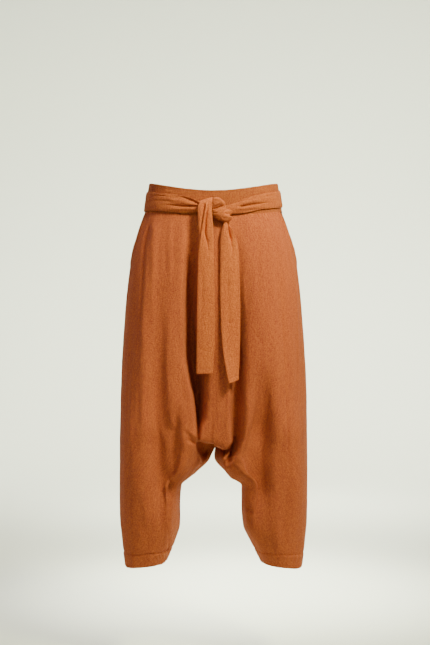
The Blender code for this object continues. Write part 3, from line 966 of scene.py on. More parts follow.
CREASES = {
    (Facing.FRONT, Side.RIGHT): table(
        Crease,
        (((-0.11, -0.06), (-0.112, -0.141), (-0.122, -0.292), (-0.124, -0.422), (-0.118, -0.551),
          (-0.109, -0.659), (-0.1, -0.746)), 0.0215, 0.02, TROUGH, 0.75, 0.3),
        (((-0.098, -0.2), (-0.1, -0.335), (-0.101, -0.443), (-0.102, -0.56)), 0.011, 0.0026, RIDGE),
        (((-0.15, -0.23), (-0.151, -0.335), (-0.152, -0.46), (-0.15, -0.56)), 0.01, 0.003, RIDGE),
        (((-0.078, -0.445), (-0.081, -0.5), (-0.083, -0.56), (-0.088, -0.62), (-0.092, -0.67)),
         0.009, 0.008, TROUGH, 0.3, 0.2),
        (((-0.06, -0.44), (-0.062, -0.5), (-0.068, -0.56)), 0.009, 0.002, RIDGE),
        (((-0.083, -0.05), (-0.086, -0.11), (-0.084, -0.2)), 0.006, 0.0014),
        (((-0.101, -0.052), (-0.105, -0.12), (-0.104, -0.19)), 0.006, 0.0014),
        (((-0.066, -0.055), (-0.066, -0.13), (-0.068, -0.24)), 0.009, 0.0016, RIDGE),
        (((-0.063, -0.585), (-0.07, -0.592), (-0.079, -0.606)), 0.003, 0.0022, CLEFT),
        (((-0.057, -0.594), (-0.068, -0.606), (-0.076, -0.622)), 0.0035, 0.002, CLEFT),
        (((-0.06, -0.572), (-0.07, -0.578), (-0.082, -0.59)), 0.003, 0.0016, CLEFT),
        (((-0.14, -0.05), (-0.152, -0.108), (-0.157, -0.199), (-0.163, -0.3), (-0.168, -0.42)),
         0.0065, 0.0036, TROUGH, 0.1, 0.5),
        (((-0.128, -0.055), (-0.13, -0.11), (-0.133, -0.2), (-0.14, -0.33)), 0.008, 0.003, RIDGE, 0.1, 0.5),
        (((-0.132, -0.188), (-0.127, -0.205), (-0.121, -0.23)), 0.003, 0.0014, CLEFT),
        (((-0.02, -0.42), (-0.006, -0.452), (0.012, -0.5)), 0.003, 0.0012, CLEFT),
        (((-0.165, -0.64), (-0.158, -0.74)), 0.008, 0.0018),
        (((-0.178, -0.36), (-0.18, -0.47), (-0.182, -0.6)), 0.007, 0.0016, RIDGE),
        (((-0.104, -0.72), (-0.098, -0.76), (-0.106, -0.8)), 0.005, 0.0018),
    ),
    (Facing.FRONT, Side.LEFT): table(
        Crease,
        (((0.104, -0.365), (0.104, -0.443), (0.103, -0.551), (0.094, -0.659), (0.084, -0.746)),
         0.029, 0.026, TROUGH, 0.5, 0.3),
        (((0.136, -0.4), (0.137, -0.48), (0.134, -0.58), (0.122, -0.68)), 0.014, 0.003, RIDGE),
        (((0.074, -0.4), (0.073, -0.5), (0.076, -0.57)), 0.01, 0.0022, RIDGE),
        (((0.0335, -0.385), (0.034, -0.45), (0.0335, -0.528)), 0.003, 0.001, STEP, 0.25, 0.1),
        (((0.046, -0.574), (0.056, -0.582), (0.068, -0.597)), 0.003, 0.0022, CLEFT),
        (((0.052, -0.562), (0.064, -0.568), (0.08, -0.582)), 0.0035, 0.0018, CLEFT),
        (((0.044, -0.588), (0.052, -0.6), (0.06, -0.618)), 0.0035, 0.0018, CLEFT),
        (((0.066, -0.678), (0.074, -0.688), (0.085, -0.705)), 0.0035, 0.0024, CLEFT),
        (((0.07, -0.7), (0.078, -0.712), (0.082, -0.724)), 0.0035, 0.002, CLEFT),
        (((0.075, -0.286), (0.095, -0.308), (0.117, -0.336)), 0.004, 0.0012, CLEFT),
        (((0.142, -0.05), (0.151, -0.301), (0.16, -0.509), (0.168, -0.64)), 0.0032, 0.0012),
        (((0.176, -0.12), (0.184, -0.3), (0.187, -0.45)), 0.006, 0.0014, RIDGE),
        (((0.066, -0.06), (0.067, -0.16), (0.068, -0.29)), 0.009, 0.002, RIDGE),
        (((0.092, -0.06), (0.097, -0.15), (0.101, -0.3)), 0.009, 0.0012),
        (((0.12, -0.06), (0.127, -0.16), (0.133, -0.33)), 0.008, 0.0012, RIDGE),
        (((0.15, -0.64), (0.152, -0.76)), 0.01, 0.0022),
        (((0.12, -0.7), (0.128, -0.77), (0.126, -0.805)), 0.007, 0.0016),
    ),
    (Facing.BACK, Side.RIGHT): table(
        Crease,
        (((-0.052, -0.54), (-0.085, -0.5), (-0.125, -0.44), (-0.16, -0.36)), 0.013, 0.0035),
        (((-0.05, -0.56), (-0.095, -0.545), (-0.145, -0.5), (-0.18, -0.43)), 0.011, 0.003),
        (((-0.058, -0.58), (-0.08, -0.6), (-0.09, -0.64)), 0.006, 0.0022, CLEFT),
        (((-0.05, -0.57), (-0.066, -0.586), (-0.074, -0.6)), 0.0035, 0.0014, CLEFT),
        (((-0.11, -0.05), (-0.118, -0.13), (-0.122, -0.25)), 0.007, 0.0014),
        (((-0.075, -0.05), (-0.08, -0.15), (-0.078, -0.26)), 0.008, 0.0016),
        (((-0.14, -0.56), (-0.134, -0.66), (-0.14, -0.76)), 0.012, 0.0026),
        (((-0.17, -0.3), (-0.176, -0.46), (-0.178, -0.6)), 0.009, 0.0016),
        (((-0.105, -0.69), (-0.12, -0.71), (-0.14, -0.745)), 0.005, 0.0014, CLEFT),
        (((-0.018, -0.24), (-0.014, -0.36), (-0.016, -0.47)), 0.006, 0.0012),
    ),
    (Facing.BACK, Side.LEFT): table(
        Crease,
        (((0.05, -0.545), (0.08, -0.49), (0.118, -0.42), (0.15, -0.33)), 0.012, 0.0032),
        (((0.048, -0.565), (0.09, -0.556), (0.14, -0.52), (0.185, -0.46)), 0.012, 0.0032),
        (((0.052, -0.58), (0.07, -0.604), (0.08, -0.65)), 0.006, 0.002, CLEFT),
        (((0.047, -0.572), (0.062, -0.582), (0.076, -0.6)), 0.0035, 0.0014, CLEFT),
        (((0.1, -0.05), (0.108, -0.14), (0.11, -0.27)), 0.008, 0.0015),
        (((0.07, -0.05), (0.074, -0.13), (0.07, -0.23)), 0.007, 0.0013),
        (((0.15, -0.57), (0.142, -0.67), (0.146, -0.77)), 0.012, 0.0024),
        (((0.165, -0.28), (0.172, -0.43), (0.176, -0.59)), 0.01, 0.0017),
        (((0.108, -0.67), (0.122, -0.7), (0.135, -0.74)), 0.005, 0.0014, CLEFT),
        (((0.016, -0.26), (0.018, -0.38), (0.014, -0.48)), 0.006, 0.0012),
    ),
}


@dataclass
class Trousers:
    """The four panels and the two hip pieces, with their seams, hems and pocket mouths."""

    cloth: bpy.types.Material
    # Finish of the hip pieces: the darker copy, painted shade on them.
    hip_cloth: bpy.types.Material
    stitching: Stitching
    thick: float = 0.001
    row_step: float = 0.004
    hem_step: float = 0.0018
    flange: float = 0.0035
    hem_depth: float = 0.032
    hem_inside: float = 0.0019
    hem_rows: int = 7
    hem_turns: int = 2
    hem_round: float = 0.0007
    hem_tuck: float = 0.0004
    hem_first: float = 0.004
    mouth_top_share: float = 0.22
    mouth_foot_z: float = -0.16
    mouth_curve: float = 1.6
    mouth_gape: float = 0.0065
    mouth_ridge: float = 0.0022
    lip_off: float = 1.1
    fold_fade: float = 0.1
    leg_squared: float = 0.1
    arch_z: float = -0.553
    arch_lean: float = 0.0045
    sewn_edge: float = 0.01
    mouth_edge: float = 0.0012
    mouth_stitch_column: int = 3
    hip_reach: float = 0.24
    hip_behind: float = 0.0034
    hip_foot: float = 0.006
    hip_shown: int = 14
    hip_under: int = 16
    stitch_foot: float = 0.012

    def __post_init__(self) -> None:
        """Turns the tables into curves."""
        self.section = {name: curve_of(SECTIONS, name) for name in Section._fields}
        self.depth = {
            facing: {name: curve_of(rows, name) for name in Depth._fields} for facing, rows in DEPTHS.items()
        }

    def centre_fold(
        self, facing: Facing, side: Side, z: np.ndarray, away: np.ndarray
    ) -> tuple[np.ndarray, np.ndarray]:
        """How the fold beside the centre pleat moves points.

        Args:
            facing: Front or back.
            side: The wearer's side.
            z: The points' heights.
            away: Their distances from the centre.

        Returns:
            How far they move towards the centre, and into the body.
        """
        fold = {name: curve_of(CENTRE_FOLDS[facing, side], name, "z") for name in CentreFold._fields[1:]}
        off = away - fold["away"](z)
        off /= np.where(off < 0, fold["inner"](z), fold["outer"](z))
        inner, outer = FOLD_WALLS.get((facing, side), PLAIN_WALLS)
        form = np.exp(-(np.abs(off) ** np.where(off < 0, inner, outer)))
        return fold["over"](z) * bell(off - self.lip_off), fold["depth"](z) * form

    def points(self, facing: Facing, side: Side, place: np.ndarray, across: np.ndarray) -> np.ndarray:
        """Points of a panel without its broad folds.

        Args:
            facing: Front or back.
            side: The wearer's side.
            place: Each row's place, counted in sections.
            across: Each point's share of the way from the side seam to the inner seam.

        Returns:
            The points in rows and columns.
        """
        at = {name: curve(place[:, None]) for name, curve in self.section.items()}
        turn = np.radians(at["turn"])
        seam_x = at[f"{side.word}_x"]
        depth, seam = (self.depth[facing][name](place[:, None]) for name in Depth._fields)
        z = at["side_z"] + (at["seam_z"] - at["side_z"]) * ease((across - at["level"]) / (1 - at["level"]))

        fullness = np.broadcast_to(at["fullness"], across.shape)
        if facing is Facing.FRONT:
            below_crotch, above_hem = place[:, None] - CROTCH, len(SECTIONS) - 1 - place[:, None]
            on_leg = ease(below_crotch / 2.5) * ease(above_hem / 3)
            fullness = fullness + self.leg_squared * on_leg * ease((across - 0.5) / 0.3)

        def out_of(angle: np.ndarray) -> np.ndarray:
            """The share of the depth at an angle about the trunk."""
            return (np.sin(angle) + fullness * np.sin(3 * angle)) / (1 - fullness)

        share = (np.cos(turn * across) - np.cos(turn)) / (1 - np.cos(turn))
        away = seam_x + (at["half_width"] - seam_x) * share
        off_seam = (seam - depth * out_of(turn)) * ease((across - at["bend"]) / (1 - at["bend"]))
        stand = depth * out_of(turn * across) + off_seam
        towards_centre, inwards = self.centre_fold(facing, side, z, away)
        for pouch in POUCHES.get((facing, side), ()):
            near = ((away - pouch.away) / pouch.wide) ** 2 + ((z - pouch.z) / pouch.high) ** 2
            inwards -= pouch.out * np.exp(-near)
        hang = HANGS.get((facing, side))
        if hang:
            near = bell((away - hang.away) / hang.wide) * ease((HANG_TOP_Z - z) / 0.09)
            z = z - hang.drop * near * ease((stand - 0.02) / 0.07)
        fade = ease((1 - across) / self.fold_fade)
        x, y = side.value * (away - towards_centre * fade), facing.value * (stand - inwards * fade)
        return np.stack([x, y, z], axis=2)

    def soft_depth(self, facing: Facing, side: Side, z: np.ndarray, across: np.ndarray) -> np.ndarray:
        """How deep the broad folds are at some points.

        Args:
            facing: Front or back.
            side: The wearer's side.
            z: The points' heights.
            across: Their shares of the way across the panel.

        Returns:
            The depths.
        """
        total = np.zeros_like(z)
        for fold in SOFT_FOLDS[facing, side]:
            down = np.clip((fold.top - z) / (fold.top - fold.foot), 0, 1)
            middle = fold.across_top + (fold.across_foot - fold.across_top) * down
            total += fold.depth * np.sin(math.pi * down) * bell((across - middle) / fold.half_width)
        return total

    def rows(self) -> np.ndarray:
        """Chooses the places of a panel's rows, close enough together everywhere and closer near the hem.

        Returns:
            The places, counted in sections.
        """
        coarse = np.arange(len(SECTIONS), dtype=float)
        tested = np.tile([0.0, 0.5, 0.8, 1.0], (len(coarse), 1))
        sample = self.points(Facing.FRONT, Side.RIGHT, coarse, tested)
        runs = np.linalg.norm(np.diff(sample, axis=0), axis=2).max(axis=1)
        places: list[float] = []
        for i, run in enumerate(runs):
            step = self.hem_step if i >= len(runs) - 1 else self.row_step
            count = max(int(math.ceil(run / step)), 2)
            places += [i + k / count for k in range(count)]
        return np.array([*places, float(len(SECTIONS) - 1)])

    def mouth_share(self, z: np.ndarray) -> np.ndarray:
        """How far round the front the pocket's mouth lies.

        Args:
            z: Heights.

        Returns:
            Shares of the way from the side seam to the centre.
        """
        top = SECTIONS[0].side_z
        down = np.clip((top - z) / (top - self.mouth_foot_z), 0, 1)
        return self.mouth_top_share * (1 - down**self.mouth_curve)

    def columns(self, facing: Facing) -> np.ndarray:
        """Chooses the places of a panel's columns, closest together at the deep fold.

        Args:
            facing: Front or back.

        Returns:
            Shares of the way across the panel.
        """
        parts = [np.linspace(start, end, count, endpoint=False) for start, end, count in COLUMNS[facing]]
        return np.concatenate([*parts, [1.0]])

    def crinkle(self, grid: np.ndarray, seed: float) -> np.ndarray:
        """Small uneven ripples that mostly hang downwards.

        Args:
            grid: The panel's points.
            seed: A number that picks the pattern.

        Returns:
            How far each point moves inwards.
        """
        return sum(ripple.over(grid, seed) for ripple in RIPPLES)

    def panel_grid(self, facing: Facing, side: Side) -> tuple[np.ndarray, np.ndarray]:
        """Points and normals of a whole panel with all its folds, creases and seams.

        Args:
            facing: Front or back.
            side: The wearer's side.

        Returns:
            The points and their outward normals, with the edges that turn in along the seams.
        """
        turned = side.value * facing.value
        place = self.rows()
        across = np.tile(self.columns(facing), (len(place), 1))
        side_z = self.section["side_z"](place)
        mouth = self.mouth_share(side_z) if facing is Facing.FRONT else np.zeros(len(place))
        across = mouth[:, None] + (1 - mouth[:, None]) * across
        grid = self.points(facing, side, place, across)
        grid -= outward(grid, turned) * self.soft_depth(facing, side, grid[..., 2], across)[..., None]
        normals = outward(grid, turned)
        base = grid.copy()
        from_seam, from_side, from_waist = (
            np.linalg.norm(grid - edge, axis=2) for edge in (grid[:, -1:], grid[:, :1], grid[:1])
        )
        kept = ease(from_seam / self.sewn_edge) * ease(from_waist / (2 * self.sewn_edge))
        kept *= np.where(mouth[:, None] > 0, 1, ease(from_side / self.sewn_edge))
        depth = self.crinkle(base, 2 * facing.value + side.value)
        for crease in CREASES[facing, side]:
            depth += crease_depth(base, normals, crease)
        lip = self.mouth_ridge * bell(from_side / 0.006) * ease(mouth[:, None] / 0.05)
        grid = base - normals * (depth * kept - lip)[..., None]
        grid -= normals * self.sewing_depth(facing, side, base, from_waist)[..., None]
        normals = outward(grid, turned)
        return self.close_edges(facing, side, place, mouth, grid, normals)

    def sewing_depth(
        self, facing: Facing, side: Side, base: np.ndarray, from_waist: np.ndarray
    ) -> np.ndarray:
        """How far the hem's stitching and the gathers under the waist seam pull the cloth in, unevenly.

        Args:
            facing: Front or back.
            side: The wearer's side.
            base: The panel's points.
            from_waist: Each point's distance from the waist seam.

        Returns:
            The depths.
        """
        up = np.linalg.norm(base - base[-1:], axis=2)
        along = np.cumsum(np.linalg.norm(np.diff(base, axis=1, prepend=base[:, :1]), axis=2), axis=1)
        pull = 0.5 + 0.5 * HEM_PUCKER.along(along, side.value, facing.value)
        hem = (0.0009 + 0.0011 * pull) * bell((up - self.hem_depth) / 0.0028)
        hem += 0.0008 * pull * bell((up - 0.6 * self.hem_depth) / 0.01)
        hem -= 0.0007 * ease((self.hem_depth - up) / 0.004)
        gathers = WAIST_PUCKER.along(along, 2 * side.value)
        strength = np.exp(-from_waist / 0.014) * ease(from_waist / 0.004)
        strength *= 0.35 + 0.65 * np.clip(np.sin(along * 19 + side.value), 0, 1)
        return hem + 0.0007 * gathers * strength

    def close_edges(
        self,
        facing: Facing,
        side: Side,
        place: np.ndarray,
        mouth: np.ndarray,
        grid: np.ndarray,
        normals: np.ndarray,
    ) -> tuple[np.ndarray, np.ndarray]:
        """Brings a panel's edges to its seams, turns them in there, and turns up the hem.

        Args:
            facing: Front or back.
            side: The wearer's side.
            place: Each row's place, counted in sections.
            mouth: Where each row starts round the front, above 0 along the pocket's mouth.
            grid: The panel's points.
            normals: Their outward normals.

        Returns:
            The points and normals with an edge more on three sides and the hem's inside.
        """
        crotch = int(np.searchsorted(place, CROTCH))
        seamed = mouth == 0
        grid[seamed, 0, 1] = facing.value * SEAM_GAP / 2
        grid[: crotch + 1, -1, 0] = side.value * SEAM_GAP / 2
        grid[crotch:, -1, 1] = facing.value * SEAM_GAP / 2
        first, last = normals[:, 0].copy(), normals[:, -1].copy()
        first[seamed, 1] = 0
        last[:crotch, 0] = 0
        last[crotch] = (0, 0, -1)
        last[crotch + 1:, 1] = 0
        for edge in (first, last):
            edge /= np.linalg.norm(edge, axis=1, keepdims=True)
        depth = np.where(seamed, self.flange, self.mouth_edge)[:, None]
        left, right = grid[:, 0] - first * depth, grid[:, -1] - last * self.flange
        grid = np.concatenate([left[:, None], grid, right[:, None]], axis=1)
        normals = np.concatenate([first[:, None], normals, last[:, None]], axis=1)
        down = grid[-1] - grid[-2]
        down /= np.linalg.norm(down, axis=1, keepdims=True)
        inside = grid[-1] - normals[-1] * self.hem_inside
        turn = (grid[-1] + inside) / 2 + down * self.hem_round
        hem = [turn, inside - down * self.hem_tuck]
        hem += [inside - down * up for up in np.linspace(self.hem_first, self.hem_depth, self.hem_rows)]
        grid = np.concatenate([grid, np.array(hem)], axis=0)
        near = bell((grid[..., 2] - self.arch_z) / 0.015) * bell(grid[..., 0] / 0.022)
        grid[..., 0] += self.arch_lean * near
        normals = np.concatenate([normals, np.repeat(normals[-1:], len(hem), axis=0)], axis=0)
        return grid, normals

    def hip_grid(self, side: Side) -> tuple[np.ndarray, np.ndarray]:
        """Points and normals of the hip piece behind a pocket's mouth.

        Args:
            side: The wearer's side.

        Returns:
            The points and their outward normals.
        """
        turned = -side.value
        place = self.rows()
        place = place[self.section["side_z"](place) > self.mouth_foot_z - self.hip_foot]
        side_z = self.section["side_z"](place)
        mouth = np.maximum(self.mouth_share(side_z), 0.02)
        shown, under = np.linspace(0, 1, self.hip_shown), np.linspace(0, 1, self.hip_under)[1:]
        mouth = mouth[:, None]
        across = np.concatenate([mouth * shown, mouth + (self.hip_reach * (1 - mouth)) * under], axis=1)
        grid = self.points(Facing.FRONT, side, place, across)
        grid -= outward(grid, turned) * self.soft_depth(Facing.FRONT, side, grid[..., 2], across)[..., None]
        normals = outward(grid, turned)
        top = SECTIONS[0].side_z
        down = np.clip((top - side_z) / (top - self.mouth_foot_z), 0, 1)
        gape = self.mouth_gape * np.sin(math.pi * down)
        dip = np.concatenate([ease(shown / 0.6), np.ones(len(under))])[None, :]
        dip = np.where(down[:, None] < 1, dip, 1.0)
        grid -= normals * ((self.hip_behind + gape)[:, None] * dip)[..., None]
        grid[:, 0, 1] = -SEAM_GAP / 2
        return grid, normals

    def build(self) -> None:
        """Builds the four panels, the hip pieces and their stitching."""
        flats = {Facing.FRONT: (0.345, 0.8), Facing.BACK: (0.355, 0.81)}
        hem_lines, mouth_lines = [], []
        for facing in Facing:
            for side in Side:
                grid, normals = self.panel_grid(facing, side)
                name = f"{facing.word}_{side.word}"
                Sheet(
                    f"{name}_panel", grid, normals, self.thick, self.cloth, (name, f"{name}_leg"),
                    flats[facing], Held.HUNG, area=0.235, rests_on=(f"waistband_{facing.word}",),
                ).build()
                foot = len(grid) - 1 - self.hem_rows - self.hem_turns
                up = np.linalg.norm(grid[: foot + 1] - grid[foot], axis=2)
                row = int(np.argmin(np.abs(up[:, up.shape[1] // 2] - self.hem_depth)))
                hem_lines.append((grid[row, 1:-1], normals[row, 1:-1]))
                if facing is Facing.FRONT:
                    rows = np.flatnonzero(grid[:foot, 1, 2] > self.mouth_foot_z - self.stitch_foot)
                    column = self.mouth_stitch_column
                    mouth_lines.append((grid[rows, column], normals[rows, column]))
        for side in Side:
            grid, normals = self.hip_grid(side)
            name = f"hip_piece_{side.word}"
            Sheet(
                f"{name}_cloth", grid, normals, self.thick, self.hip_cloth, (name,),
                (0.125, 0.14), Held.HUNG, area=0.0105, rests_on=("waistband_front",),
            ).build()
        self.stitching.sew("hem_stitching", hem_lines, "front_right_cloth")
        self.stitching.sew("pocket_stitching", mouth_lines, "front_right_cloth")


# The waistband and the sash


BAND_WAVES = Ripple((60, 60, 90), 5.0, 0.00035)
BAND_RIPPLES = Ripple((160, 160, 40), 9.0, 0.0003)
WRAP_RIPPLES = Ripple((60, 60, 150), 21.0, 0.0004)
TAIL_WAVES = Ripple((70, 70, 22), 31.0, 0.0005)
TAIL_RIPPLES = Ripple((160, 160, 90), 33.0, 0.0002)
LOBE_RIPPLES = Ripple((150, 150, 150), 41.0, 0.0004)


@dataclass
class Waistband:
    """The curved waistband in two halves."""

    # Finish of the band: the darker copy, painted shade on it.
    cloth: bpy.types.Material
    stitching: Stitching
    thick: float = 0.0022
    stands_out: float = 0.0005
    top_half_width: float = 0.145
    top_side_z: float = 0.035
    gap: float = 0.0002
    rows: int = 26
    columns: int = 151
    stitch_up: float = 0.9

    TOP_CENTRE_Z = {Facing.FRONT: 0.0115, Facing.BACK: 0.0275}
    TOP_DEPTH = {Facing.FRONT: 0.102, Facing.BACK: 0.092}

    def point(
        self,
        facing: Facing,
        across: np.ndarray,
        z: np.ndarray | None = None,
        up: np.ndarray | None = None,
        out: np.ndarray | float = 0.0,
    ) -> np.ndarray:
        """Points over the waistband.

        Args:
            facing: Front or back.
            across: Shares of the way from the wearer's right side seam to the left one.
            z: Heights, or None where up is given.
            up: Heights as shares of the band's own height.
            out: How far the points stand off the waist.

        Returns:
            The points.
        """
        waist, depth_at_waist = SECTIONS[0], DEPTHS[facing][0].panel
        angle = math.pi * across
        to_side = np.cos(angle)
        stand = (np.sin(angle) + waist.fullness * np.sin(3 * angle)) / (1 - waist.fullness)
        rise = ease(1 - np.abs(1 - 2 * across))
        low = waist.side_z + (waist.seam_z - waist.side_z) * rise + self.gap
        high = self.top_side_z + (self.TOP_CENTRE_Z[facing] - self.top_side_z) * rise
        if up is None:
            up = (z - low) / (high - low)
        half_width = waist.half_width + (self.top_half_width - waist.half_width) * up
        depth = depth_at_waist + (self.TOP_DEPTH[facing] - depth_at_waist) * up
        square_x, square_y = -to_side / half_width, facing.value * stand / depth
        length = np.hypot(square_x, square_y)
        x = -to_side * half_width + out * square_x / length
        y = facing.value * stand * depth + out * square_y / length
        return np.stack(np.broadcast_arrays(x, y, low + (high - low) * up), axis=-1)

    def build(self) -> None:
        """Builds both halves with their rounded top edge, and the stitches along it."""
        lines = []
        for facing in Facing:
            ups = np.concatenate([[1.0, 1.008, 1.004], np.linspace(0.985, 0.0, self.rows)])
            tuck = np.concatenate([[0.0019, 0.0011, 0.0003], np.zeros(self.rows)])
            across = np.linspace(0, 1, self.columns)
            grid = self.point(facing, across[None, :], up=ups[:, None], out=self.stands_out - tuck[:, None])
            normals = outward(grid, -facing.value)
            waves = BAND_WAVES.over(grid, facing.value) + BAND_RIPPLES.over(grid)
            waves += 0.0005 * bell((ups[:, None] - self.stitch_up) / 0.035)
            fade = ease(np.minimum(across, 1 - across) / 0.03)[None, :]
            grid = grid - normals * (waves * fade)[..., None]
            for column in (0, -1):
                grid[:, column, 1] = facing.value * SEAM_GAP / 2
            Sheet(
                f"waistband_{facing.word}_cloth", grid, normals, self.thick, self.cloth,
                (f"waistband_{facing.word}",), (0.395, 0.078), Held.HUNG, area=0.0275,
            ).build()
            row = int(np.argmin(np.abs(ups - self.stitch_up)))
            lines.append((grid[row], normals[row]))
        self.stitching.sew("waistband_stitching", lines, "waistband_front_cloth")


class Wrap(NamedTuple):
    """A sash stretch's upper and lower edges and the height of its pleats, at a share of its way."""

    share: float
    upper_z: float
    lower_z: float
    relief: float


RIGHT_WRAP = table(
    Wrap,
    (0.0, 0.018, -0.026, 0.0004),
    (0.3, 0.012, -0.0295, 0.001),
    (0.51, 0.006, -0.033, 0.0018),
    (0.73, -0.001, -0.037, 0.003),
    (0.86, -0.013, -0.037, 0.0042),
    (1.0, -0.016, -0.036, 0.0045),
)
LEFT_WRAP = table(
    Wrap,
    (0.0, 0.022, -0.016, 0.0004),
    (0.3, 0.0135, -0.0225, 0.0012),
    (0.58, 0.004, -0.0285, 0.0022),
    (0.78, -0.0065, -0.037, 0.0028),
    (0.96, -0.021, -0.0405, 0.0042),
    (1.0, -0.022, -0.0405, 0.0044),
)
BACK_WRAP = table(
    Wrap,
    (0.0, 0.018, -0.026, 0.0003),
    (0.3, 0.019, -0.024, 0.0006),
    (0.65, 0.02, -0.0225, 0.0006),
    (1.0, 0.022, -0.016, 0.0003),
)
WRAP_CREASES = {
    "right": table(
        Crease,
        (((-0.082, 0.0), (-0.062, -0.005), (-0.048, -0.01), (-0.034, -0.0172)),
         0.0024, 0.0066, CLEFT, 0.6, 0.0),
        (((-0.105, 0.003), (-0.07, 0.0005), (-0.05, -0.0055), (-0.033, -0.0135)),
         0.003, 0.002, RIDGE, 0.6, 0.0),
        (((-0.11, -0.019), (-0.08, -0.0215), (-0.055, -0.0235), (-0.034, -0.0238)),
         0.002, 0.0066, CLEFT, 0.5, 0.0),
        (((-0.12, -0.026), (-0.08, -0.0285), (-0.036, -0.0295)), 0.004, 0.0022, RIDGE, 0.6, 0.0),
        (((-0.12, -0.004), (-0.08, -0.011), (-0.045, -0.0195)), 0.0045, 0.0018, RIDGE, 0.5, 0.0),
        (((-0.14, -0.008), (-0.11, -0.01), (-0.085, -0.013)), 0.003, 0.001),
        (((-0.144, 0.006), (-0.12, 0.002), (-0.1, 0.0)), 0.0022, 0.001, CLEFT),
    ),
    "left": table(
        Crease,
        (((0.05, -0.0255), (0.075, -0.0215), (0.1, -0.0165), (0.13, -0.012)),
         0.0026, 0.0062, CLEFT, 0.25, 0.5),
        (((0.046, -0.03), (0.075, -0.0262), (0.11, -0.0205)), 0.0032, 0.0016, RIDGE, 0.1, 0.7),
        (((0.04, -0.018), (0.06, -0.012), (0.09, -0.006)), 0.0024, 0.002, CLEFT, 0.2, 0.7),
        (((0.055, -0.02), (0.08, -0.013), (0.115, -0.007)), 0.004, 0.0014, RIDGE, 0.3, 0.6),
        (((0.06, -0.035), (0.09, -0.03), (0.12, -0.025)), 0.0026, 0.0016, CLEFT, 0.3, 0.6),
        (((0.11, -0.001), (0.13, 0.004), (0.145, 0.008)), 0.0026, 0.001),
    ),
    "back": table(
        Crease,
        (((-0.12, 0.002), (-0.06, 0.0), (0.02, -0.002)), 0.003, 0.0012, CLEFT),
        (((-0.03, 0.008), (0.04, 0.006), (0.12, 0.006)), 0.0026, 0.0012, CLEFT),
        (((-0.08, -0.012), (0.01, -0.014), (0.09, -0.01)), 0.003, 0.001, CLEFT),
    ),
}


class Tail(NamedTuple):
    """A free end of the sash at one height: its middle, width, turn and tilt in degrees, and its bow."""

    x: float
    y: float
    z: float
    width: float
    turned: float
    tilt: float
    bow: float


RIGHT_TAIL = table(
    Tail,
    (-0.015, -0.1042, -0.007, 0.027, 0, 15, 0.0),
    (-0.0155, -0.116, -0.0085, 0.028, 0, 15, 0.0006),
    (-0.0165, -0.1222, -0.015, 0.029, 0, 13, 0.0014),
    (-0.0185, -0.1245, -0.027, 0.031, 0, 8, 0.0024),
    (-0.0178, -0.125, -0.05, 0.031, 3, 3, 0.0036),
    (-0.015, -0.125, -0.1, 0.0325, 3, 0, 0.0026),
    (-0.016, -0.1252, -0.19, 0.0365, 0, 0, 0.0014),
    (-0.0165, -0.1255, -0.31, 0.0386, -3, 0, 0.0014),
    (-0.0188, -0.1255, -0.386, 0.0365, -6, 2, 0.0016),
)
LEFT_TAIL = table(
    Tail,
    (0.0305, -0.1175, -0.0598, 0.013, 0, -18, 0.002),
    (0.0298, -0.119, -0.068, 0.019, 2, -8, 0.0036),
    (0.0305, -0.1215, -0.087, 0.029, 3, 0, 0.0045),
    (0.0345, -0.1225, -0.115, 0.0385, 4, 0, 0.0036),
    (0.0367, -0.124, -0.225, 0.043, 6, 0, 0.0018),
    (0.0382, -0.125, -0.313, 0.04, 14, 2, 0.0016),
    (0.0422, -0.127, -0.38, 0.0345, 38, 8, 0.0016),
    (0.0446, -0.128, -0.403, 0.031, 46, 14, 0.0014),
)
TAIL_CREASES = {
    "right": table(
        Crease,
        (((-0.0143, -0.0155), (-0.0205, -0.054), (-0.026, -0.09), (-0.03, -0.12)),
         0.002, 0.0036, RIDGE, 0.1, 0.3),
        (((-0.019, -0.017), (-0.024, -0.054), (-0.029, -0.085)), 0.0028, 0.0044, CLEFT, 0.1, 0.4),
        (((-0.011, -0.018), (-0.015, -0.05), (-0.0175, -0.08), (-0.012, -0.108), (-0.0105, -0.135)),
         0.0036, 0.0066, CLEFT, 0.3, 0.5),
        (((-0.0052, -0.03), (-0.003, -0.07), (-0.0015, -0.13)), 0.003, 0.0018, RIDGE, 0.3, 0.4),
        (((-0.025, -0.226), (-0.015, -0.23), (-0.006, -0.228)), 0.003, 0.0009),
        (((-0.028, -0.26), (-0.018, -0.263), (-0.008, -0.26)), 0.003, 0.0008),
        (((-0.026, -0.15), (-0.024, -0.2), (-0.026, -0.26)), 0.004, 0.0012),
        (((-0.03, -0.33), (-0.02, -0.338), (-0.008, -0.335)), 0.0035, 0.0009),
    ),
    "left": table(
        Crease,
        (((0.0345, -0.06), (0.037, -0.08), (0.0395, -0.1), (0.043, -0.145)), 0.0026, 0.004, CLEFT, 0.0, 0.6),
        (((0.0345, -0.059), (0.0362, -0.08), (0.0385, -0.1), (0.0425, -0.14)),
         0.0042, 0.006, TROUGH, 0.0, 0.6),
        (((0.031, -0.062), (0.033, -0.082), (0.0345, -0.11)), 0.0018, 0.002, RIDGE, 0.1, 0.6),
        (((0.024, -0.064), (0.0225, -0.08), (0.023, -0.11)), 0.002, 0.0014, RIDGE, 0.1, 0.6),
        (((0.04, -0.066), (0.0455, -0.085), (0.05, -0.12)), 0.002, 0.002, RIDGE, 0.1, 0.5),
        (((0.022, -0.19), (0.035, -0.196), (0.048, -0.193)), 0.0035, 0.0009),
        (((0.025, -0.27), (0.038, -0.276), (0.05, -0.272)), 0.0035, 0.0009),
        (((0.03, -0.15), (0.031, -0.23), (0.034, -0.32)), 0.005, 0.0012),
    ),
}


class Rim(NamedTuple):
    """A point of a lobe's outline: how round the lobe turns over it, from 0 for a gentle slope to 1."""

    x: float
    z: float
    y: float
    round: float


